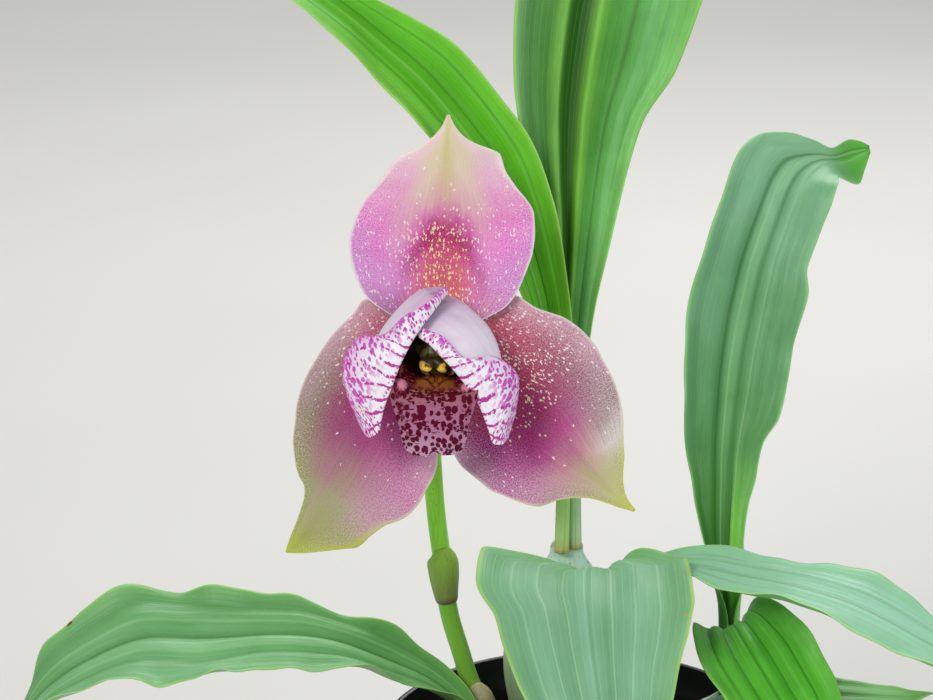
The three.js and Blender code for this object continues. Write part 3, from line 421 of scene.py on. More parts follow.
def makeSpots(name, dimensions):  # a random share of cells hold a spot, each of its own size
    inputs = {"Vector": None, "Share": 0.5, "Size": 0.35, "Softness": 0.12, "Wobble": 0.4, "Scatter": 1.0}
    board, given, result = shaderGroup(name, inputs, "Mask")
    moved = board.vector("ADD", given["Vector"], board.push(given["Vector"], 1.7, given["Wobble"]))
    cells = board.add("ShaderNodeTexVoronoi", {"Vector": moved, "Scale": 1.0, "Randomness": given["Scatter"]},
                      voronoi_dimensions=dimensions)
    draw = board.parts(cells.outputs["Color"])
    radius = board.times(given["Size"], board.timesPlus(draw[1], 0.9, 0.5))
    rim = board.plus(radius, given["Softness"])
    blot = board.span(cells.outputs["Distance"], rim, radius)
    board.feed(result, board.times(blot, board.math("LESS_THAN", draw[0], given["Share"])))
    return board.tree


def makeLines():  # lines of the map's own width, count times across
    inputs = {"Vector": None, "Across": 0.5, "Count": 8.0, "Width": 0.12, "Bend": 0.1}
    board, given, result = shaderGroup("lines", inputs, "Mask")
    wander = board.drift(given["Vector"], 1.2, 2.0)
    phase = board.timesPlus(given["Across"], given["Count"], 0.5)
    phase = board.math("FRACT", board.timesPlus(wander, given["Bend"], phase))
    board.feed(result, board.span(board.positive(board.minus(phase, 0.5)), given["Width"], 0.0))
    return board.tree


def makeFibres():  # fine streaks along the map's second direction
    inputs = {"Vector": None, "Fineness": 14.0, "Contrast": 0.25}
    board, given, result = shaderGroup("fibres", inputs, "Value")
    fine = board.times(board.parts(given["Vector"])[0], given["Fineness"])
    long = board.times(board.parts(given["Vector"])[1], board.times(given["Fineness"], 0.05))
    value = board.drift(board.joined(fine, long), 1.0, 3.0, 0.6)
    board.feed(result, board.timesPlus(value, given["Contrast"], 0.5))
    return board.tree


def makeStipple():  # fine pale-dark net
    board, given, result = shaderGroup("stipple", {"Vector": None, "Scale": 20.0, "Contrast": 0.15}, "Mask")
    grain = board.noise(given["Vector"], given["Scale"], 2.5)
    low = board.minus(0.5, given["Contrast"])
    board.feed(result, board.span(grain, low, board.plus(0.5, given["Contrast"])))
    return board.tree


def makeDust():  # soft patches broken by grit
    board, given, result = shaderGroup("dust", {"Vector": None, "Cover": 0.3, "Grit": 900.0}, "Mask")
    patch = board.noise(given["Vector"], 26.0, 4.0, 0.6)
    grit = board.noise(given["Vector"], given["Grit"], 2.0)
    edge = board.minus(0.78, given["Cover"])
    patch = board.span(patch, edge, board.plus(edge, 0.3))
    board.feed(result, board.times(patch, board.span(grit, 0.35, 0.7)))
    return board.tree


spots = makeSpots("spots", "3D")
flatSpots = makeSpots("flatSpots", "2D")
lines = makeLines()
fibres = makeFibres()
stipple = makeStipple()
dust = makeDust()


def newMaterial(name, plain):  # plain holds the values set on the shader's own sockets
    material = bpy.data.materials.new(name)
    material.use_nodes = True
    sockets = material.node_tree.nodes["Principled BSDF"].inputs
    for key, value in plain.items():
        sockets[key].default_value = value
    return material, Board(material.node_tree), sockets


print("shader groups ready")


# Geometry node trees
def geometryTree(name, inputs):
    tree = bpy.data.node_groups.new(name, "GeometryNodeTree")
    tree.interface.new_socket("Geometry", in_out="INPUT", socket_type="NodeSocketGeometry")
    for key, value in inputs.items():
        kind = "NodeSocketInt" if isinstance(value, int) else "NodeSocketFloat"
        tree.interface.new_socket(key, in_out="INPUT", socket_type=kind).default_value = value
    tree.interface.new_socket("Geometry", in_out="OUTPUT", socket_type="NodeSocketGeometry")
    board = Board(tree)
    return board, board.add("NodeGroupInput").outputs


def endTree(board, geometry, material=None):
    if material:
        geometry = board.add("GeometryNodeSetMaterial", {0: geometry, "Material": material}).outputs[0]
    geometry = board.add("GeometryNodeRealizeInstances", {0: geometry}).outputs[0]
    board.feed(board.add("NodeGroupOutput").inputs[0], geometry)
    return board.tree


def growNodes(piece, tree, values):  # runs the tree on the piece and keeps the plain mesh
    modifier = piece.modifiers.new(tree.name, "NODES")
    modifier.node_group = tree
    sockets = {item.name: item.identifier for item in tree.interface.items_tree if item.in_out == "INPUT"}
    for key, value in values.items():
        modifier[sockets[key]] = value
    graph = bpy.context.evaluated_depsgraph_get()
    grown = bpy.data.meshes.new_from_object(piece.evaluated_get(graph), depsgraph=graph)
    grown.name = piece.name
    piece.modifiers.remove(modifier)
    piece.data = grown
    return piece


# The pot: a lathed wall with a stepped rim, its drainage holes cut by nodes
pot = {
    "profile": [  # radius, height
        (41, 0), (41.7, 0.2), (42, 1), (46.4, 25), (50.7, 49), (55.1, 73), (59.2, 95), (59.5, 96),
        (60.9, 96.6), (61.2, 97.2), (61.6, 100.6), (62, 104.2), (61.9, 104.7), (61.3, 105), (60.7, 105),
        (60.25, 104.7), (60.2, 104.2), (59.8, 101), (59.4, 98), (58.5, 96.2), (57.6, 94.6), (53.2, 71),
        (48.9, 48), (44.5, 25), (40.4, 3.2), (39.8, 2.6), (38, 2.5),
    ],
    "sides": 160,
    "holes": {"Holes": 6, "Ring radius": 0.029, "Hole radius": 0.004},
    "colour": "#17181b",
    "worn": "#2c2d30",
    "dust": "#6d645a",
    "roughness": 0.42,
}


def potSkin():
    material, board, shader = newMaterial("satinBlackPlastic", {"Specular IOR Level": 0.45})
    place = board.place()
    height = board.parts(place)[2]
    soiled = board.group(dust, {"Vector": place, "Cover": 0.3, "Grit": 1200.0})
    splash = board.span(height, 0.088, 0.106, 0.35, 1.0)
    soiled = board.times(soiled, splash)
    cloud = board.noise(place, 60.0, 5.0, 0.6)
    scuffMap = board.stretch(place, 1.0, 1.0, 9.0)
    scuff = board.span(board.noise(scuffMap, 130.0, 4.0, 0.7), 0.6, 0.72)
    colour = board.mix(board.times(scuff, 0.55), pot["colour"], pot["worn"])
    board.feed(shader["Base Color"], board.mix(board.times(soiled, 0.75), colour, pot["dust"]))
    rough = board.timesPlus(cloud, 0.16, pot["roughness"] - 0.08)
    rough = board.plus(rough, board.times(soiled, 0.3))
    board.feed(shader["Roughness"], rough)
    moulded = board.plus(board.noise(place, 1500.0, 2.0), board.times(scuff, 0.6))
    board.feed(shader["Normal"], board.bump(moulded, 0.35, 0.00012))
    return material


def holesTree(material):
    board, given = geometryTree("drainHoles", pot["holes"])
    ring = board.add("GeometryNodeMeshCircle", {"Vertices": given["Holes"], "Radius": given["Ring radius"]})
    pin = board.add("GeometryNodeMeshCylinder", {
        "Vertices": 28, "Radius": given["Hole radius"], "Depth": 0.02,
    })
    pins = board.add("GeometryNodeInstanceOnPoints", {"Points": ring.outputs[0], "Instance": pin.outputs[0]})
    pins = board.add("GeometryNodeRealizeInstances", {0: pins.outputs[0]})
    cut = board.add("GeometryNodeMeshBoolean", {0: given["Geometry"], 1: pins.outputs[0]},
                    operation="DIFFERENCE")
    return endTree(board, cut.outputs[0], material)


def makePot():
    material = potSkin()
    angle = np.linspace(0, 2 * math.pi, pot["sides"], endpoint=False)
    radius, height = np.array(pot["profile"], float).T
    rings = np.stack([
        radius[:, None] * np.cos(angle),
        radius[:, None] * np.sin(angle),
        height[:, None] + 0 * angle,
    ], axis=-1)
    piece = growNodes(ringPiece("nurseryPot", rings, [material]), holesTree(material), pot["holes"])
    piece.data.set_sharp_from_angle(angle=math.radians(35))
    seat(piece, "pot_plastic", "pot")


makePot()
print("pot made")


# The bark mix: a rough plug of fine bark, strewn with chips and perlite by nodes
mix = {
    "top": 90.2,
    "foot": 2.8,
    "radius": 56.4,  # of the top
    "footRadius": 39.9,
    "sides": 150,
    "rings": 46,
    "swells": 90,
    "chips": {"Chips": 2600.0, "Crumbs": 16000.0, "Perlite": 1150.0, "Seed": 5},
    "colours": [
        (0.0, "#3b2418"), (0.25, "#5e3a25"), (0.5, "#7c4c31"), (0.72, "#8f5f3e"), (0.9, "#a98059"),
        (1.0, "#c9a983"),
    ],
    "soil": "#3a271b",
    "perlite": "#dcd8cf",
}


def barkSkin():
    material, board, shader = newMaterial("barkChips", {"Roughness": 0.9, "Specular IOR Level": 0.25})
    place = board.place()
    tone = board.add("ShaderNodeAttribute", attribute_name="tone").outputs["Fac"]
    grain = board.noise(board.stretch(place, 1.0, 1.0, 3.0), 420.0, 5.0, 0.7)
    shade = board.timesPlus(board.minus(grain, 0.5), 0.9, tone)
    colour = board.ramp(shade, mix["colours"])
    pit = board.span(board.noise(place, 1400.0, 2.0), 0.62, 0.72)
    colour = board.mix(board.times(pit, 0.5), colour, "#2a180f")
    dusty = board.group(dust, {"Vector": place, "Cover": 0.3, "Grit": 1600.0})
    board.feed(shader["Base Color"], board.mix(board.times(dusty, 0.35), colour, "#a89c8c"))
    rough = board.plus(grain, board.times(board.noise(place, 1300.0, 3.0, 0.7), 0.6))
    board.feed(shader["Normal"], board.bump(rough, 0.8, 0.0009))
    return material


def perliteSkin():
    material, board, shader = newMaterial("perlite", {"Roughness": 0.85, "Specular IOR Level": 0.3})
    place = board.place()
    pores = board.noise(place, 1500.0, 3.0, 0.6)
    stain = board.span(board.noise(place, 90.0, 3.0), 0.5, 0.75)
    colour = board.ramp(pores, [(0.25, "#b3aba0"), (0.5, mix["perlite"]), (0.8, "#f4f2ee")])
    board.feed(shader["Base Color"], board.mix(board.times(stain, 0.4), colour, "#a78c6a"))
    board.feed(shader["Normal"], board.bump(pores, 0.7, 0.0006))
    return material


def lumpNodes(board, size, cuts, rough, scale, shift):  # a knobbly grain
    box = board.add("GeometryNodeMeshCube", {"Size": size, 1: cuts, 2: cuts, 3: cuts})
    where = board.add("GeometryNodeInputPosition").outputs[0]
    wobble = board.push(board.vector("ADD", where, shift), scale, rough)
    pull = board.math("DIVIDE", board.times(board.vector("LENGTH", where), -0.22), max(size))
    offset = board.vector("ADD", wobble, board.vector("SCALE", where, pull))
    moved = board.add("GeometryNodeSetPosition", {"Geometry": box.outputs[0], "Offset": offset})
    return board.add("GeometryNodeSetShadeSmooth", {0: moved.outputs[0]}).outputs[0]


def drawn(board, seed, smallest, largest):  # a random vector for each point
    inputs = {0: smallest, 1: largest, "Seed": seed}
    return board.add("FunctionNodeRandomValue", inputs, data_type="FLOAT_VECTOR").outputs[0]


def strewNodes(board, ground, amount, seed, grains, smallest, largest, material, tones, limit):
    where = board.add("GeometryNodeInputPosition").outputs[0]
    facing = board.parts(board.add("GeometryNodeInputNormal").outputs[0])[2]
    out = board.vector("LENGTH", board.stretch(where, 1.0, 1.0, 0.0))
    inner = board.math("LESS_THAN", out, limit)
    level = board.times(board.math("GREATER_THAN", facing, 0.2), inner)
    scatter = board.add("GeometryNodeDistributePointsOnFaces", {
        "Mesh": ground, "Selection": level, "Density": amount, "Seed": seed,
    })
    bundle = board.add("GeometryNodeJoinGeometry")
    for grain in reversed(grains):
        single = board.add("GeometryNodeGeometryToInstance", {0: grain}).outputs[0]
        board.tree.links.new(single, bundle.inputs[0])
    turn = drawn(board, seed, (-0.45, -0.45, 0.0), (0.45, 0.45, 6.283))
    size = drawn(board, seed, smallest, largest)
    laid = board.add("GeometryNodeInstanceOnPoints", {
        "Points": scatter.outputs[0], "Instance": bundle.outputs[0], "Pick Instance": True,
        "Rotation": turn, "Scale": size,
    }).outputs[0]
    tone = board.add("FunctionNodeRandomValue", {2: tones[0], 3: tones[1], "Seed": seed}).outputs[1]
    toned = board.add("GeometryNodeStoreNamedAttribute", {"Geometry": laid, "Name": "tone", "Value": tone},
                      data_type="FLOAT", domain="INSTANCE").outputs[0]
    return board.add("GeometryNodeSetMaterial", {0: toned, "Material": material}).outputs[0]


def strewTree(bark, perlite):
    board, given = geometryTree("potMix", mix["chips"])
    chips = [
        lumpNodes(board, (0.013, 0.0085, 0.0045), 5, 0.0035, 170.0, (0.1, 0, 0)),
        lumpNodes(board, (0.010, 0.0075, 0.0055), 5, 0.0035, 190.0, (0.3, 0, 0)),
        lumpNodes(board, (0.015, 0.006, 0.004), 5, 0.0030, 160.0, (0.5, 0, 0)),
    ]
    crumbs = [
        lumpNodes(board, (0.0034, 0.0024, 0.0016), 3, 0.0012, 500.0, (0.7, 0, 0)),
        lumpNodes(board, (0.0046, 0.002, 0.0014), 3, 0.0012, 500.0, (0.9, 0, 0)),
    ]
    grains = [
        lumpNodes(board, (0.0046, 0.0042, 0.0038), 4, 0.0022, 420.0, (1.1, 0, 0)),
        lumpNodes(board, (0.0035, 0.0034, 0.003), 4, 0.0018, 460.0, (1.3, 0, 0)),
    ]
    ground = board.add("GeometryNodeSetMaterial", {0: given["Geometry"], "Material": bark}).outputs[0]
    seeds = [board.plus(given["Seed"], shift) for shift in (0, 11, 23)]
    strewn = board.add("GeometryNodeJoinGeometry")
    small, large = (0.55, 0.6, 0.7), (1.15, 1.15, 1.25)
    for layer in (
        strewNodes(
            board, ground, given["Perlite"], seeds[2], grains, (0.5, 0.5, 0.5), (1.1, 1.1, 1.1), perlite,
            (0, 1), 0.053,
        ),
        strewNodes(
            board, ground, given["Crumbs"], seeds[1], crumbs, small, large, bark, (0.05, 0.75), 0.0545,
        ),
        strewNodes(
            board, ground, given["Chips"], seeds[0], chips, small, large, bark, (0.15, 0.85), 0.0475,
        ),
        ground,
    ):
        board.tree.links.new(layer, strewn.inputs[0])
    return endTree(board, strewn.outputs[0])


def makeMix():
    bark, perlite = barkSkin(), perliteSkin()
    random = np.random.default_rng(7)
    angle = np.linspace(0, 2 * math.pi, mix["sides"], endpoint=False)
    inward = np.linspace(1, 0, mix["rings"], endpoint=False) ** 0.9
    radius = np.concatenate([[mix["footRadius"]], np.linspace(mix["footRadius"], mix["radius"], 9)[1:],
                             mix["radius"] * inward[1:]])
    height = np.concatenate([[mix["foot"]], np.linspace(mix["foot"], mix["top"] - 3, 9)[1:],
                             mix["top"] + 0 * inward[1:]])
    x, y = radius[:, None] * np.cos(angle), radius[:, None] * np.sin(angle)
    z = height[:, None] + 0 * angle
    lift = np.zeros_like(x)
    for _ in range(mix["swells"]):  # low swells of the loose mix
        swell = random.uniform(-mix["radius"], mix["radius"], 2)
        wide = random.uniform(2.5, 9)
        away = (x - swell[0]) ** 2 + (y - swell[1]) ** 2
        lift += random.uniform(-0.25, 0.3) * wide ** 0.5 * np.exp(-away / wide ** 2)
    z = z + lift * (height[:, None] > mix["top"] - 1)
    piece = ringPiece("pottingBark", np.stack([x, y, z], axis=-1), [bark])
    growNodes(piece, strewTree(bark, perlite), mix["chips"])
    seat(piece, "bark", "bark_mix")


makeMix()
print("bark mix made")


# Pseudobulbs and the creeping stem
bulbs = {
    "bulb_rear": {"base": (-4, 39, 84.5), "top": (-3.8, 38.5, 152.5), "wide": 19, "deep": 12.5, "turn": 0.05},
    "bulb_front": {"base": (4, 11.5, 84.5), "top": (6.5, 14.5, 130), "wide": 19, "deep": 11.5, "turn": -0.1},
    "bulb_right": {"base": (37, 19, 84.5), "top": (46.3, 22, 109.5), "wide": 11, "deep": 9, "turn": 0.4},
    "back_bulb": {"base": (31, -7, 84.5), "top": (33, -6, 110), "wide": 11, "deep": 9.5, "turn": 0.3},
}

bulbShape = [  # share of the height, share of the half-width
    (0, 0.3), (0.08, 0.72), (0.22, 0.94), (0.38, 1), (0.58, 0.93), (0.76, 0.68), (0.88, 0.41), (0.95, 0.27),
    (1, 0.23),
]

bulbLook = {
    "along": [
        (0.0, "#83785a"), (0.18, "#869a70"), (0.5, "#9cbc98"), (0.75, "#b4d4b8"), (0.92, "#c4e8d4"),
        (1.0, "#c8ecdc"),
    ],
    "deep": "#84a48c",
    "sheath": "#a08c68",
    "ring": "#c2b27c",
    "roughness": 0.38,
}

rhizome = {
    "path": [
        (31, -10, 79), (38, 12, 78.5), (24, 22, 78.5), (6, 14, 78.5), (-3, 34, 78.5), (-20, 36, 79),
        (-31, 26, 80),
    ],
    "across": [(0, 0, 0, 1), (1, 0, 0, 1)],
    "radii": [(0, 2.2), (0.06, 4.6), (0.25, 5.3), (0.42, 4.5), (0.55, 5.4), (0.75, 4.7), (0.9, 5), (1, 2.2)],
    "rings": 120,
    "sides": 28,
    "colours": [(0.3, "#4f3a22"), (0.55, "#86693f"), (0.8, "#a7925f")],
}


def bulbSkin():
    plain = {"Specular IOR Level": 0.5, "Subsurface Weight": 0.08, "Subsurface Scale": 0.002}
    material, board, shader = newMaterial("bulbSkin", plain)
    along, place = board.parts(board.map("share"))[1], board.place()
    cloud = board.noise(place, 60.0, 4.0, 0.6)
    colour = board.ramp(board.timesPlus(board.minus(cloud, 0.5), 0.35, along), bulbLook["along"])
    grain = board.noise(board.stretch(place, 900.0, 900.0, 60.0), 1.0, 3.0, 0.6)
    colour = board.mix(board.span(grain, 0.45, 0.75, 0.0, 0.3), colour, bulbLook["deep"])
    speckled = board.stretch(place, 700.0, 700.0, 420.0)
    fleck = board.group(spots, {"Vector": speckled, "Share": 0.12, "Size": 0.25})
    colour = board.mix(board.times(fleck, 0.4), colour, "#5d5a3a")
    ragged = board.timesPlus(board.drift(place, 140.0, 3.0), 0.22, along)
    sheath = board.span(ragged, 0.2, 0.12)
    colour = board.mix(sheath, colour, bulbLook["sheath"])
    ring = board.times(board.hump(along, 0.985, 0.022), 0.8)
    board.feed(shader["Base Color"], board.mix(ring, colour, bulbLook["ring"]))
    rough = board.timesPlus(sheath, 0.35, bulbLook["roughness"])
    board.feed(shader["Roughness"], board.timesPlus(cloud, 0.12, rough))
    relief = board.plus(grain, board.times(sheath, 1.2))
    board.feed(shader["Normal"], board.bump(relief, 0.4, 0.0005))
    return material


def rootSkin():
    material, board, shader = newMaterial("oldStem", {"Roughness": 0.75})
    place = board.place()
    grain = board.noise(place, 500.0, 5.0, 0.7)
    board.feed(shader["Base Color"], board.ramp(grain, rhizome["colours"]))
    board.feed(shader["Normal"], board.bump(grain, 0.6, 0.0008))
    return material


def makeBulbs():
    material = bulbSkin()
    random = np.random.default_rng(11)
    for node, bulb in bulbs.items():
        base, top = np.array(bulb["base"], float), np.array(bulb["top"], float)
        spec = {
            "path": [base, (base + top) / 2, top],
            "across": [(i, math.cos(bulb["turn"]), math.sin(bulb["turn"]), 0) for i in (0, 1)],
            "radii": [(i, share * bulb["wide"], (0.25 + 0.75 * share) * share * bulb["deep"])
                      for i, share in bulbShape],
            "rings": 90,
            "sides": 96,
        }
        starts = random.uniform(0, 6.3, 3)

        def ribs(place, angle):
            strength = np.sin(math.pi * np.clip(place, 0, 1)) ** 0.6
            deep = 0.026 * np.cos(8 * angle + 0.5 * np.sin(3 * place))
            fine = 0.008 * np.cos(21 * angle + starts[0]) + 0.006 * np.cos(34 * angle + starts[1] + 2 * place)
            sag = 0.012 * np.sin(9 * place + starts[2]) * np.cos(2 * angle)
            neck = 0.1 * np.exp(-((place - 0.975) / 0.014) ** 2)
            return 1 + strength * (deep + fine + sag) + neck

        piece = ringPiece(camelName(node), ringsAlong(spec, ribs), [material])
        seat(piece, "bulb_skin", node)

    def joints(place, angle):
        ring = np.abs(np.sin(9 * math.pi * place)) ** 14
        return 1 + 0.1 * ring + 0.03 * np.sin(5 * angle + 20 * place)

    piece = ringPiece("creepingStem", ringsAlong(rhizome, joints), [rootSkin()])
    seat(piece, "bulb_skin", "rhizome")


makeBulbs()
print("bulbs made")


# Leaves: pleated blades that narrow into a trough-shaped stalk
def stalk(width):
    return [(0, width), (0.07, width)]


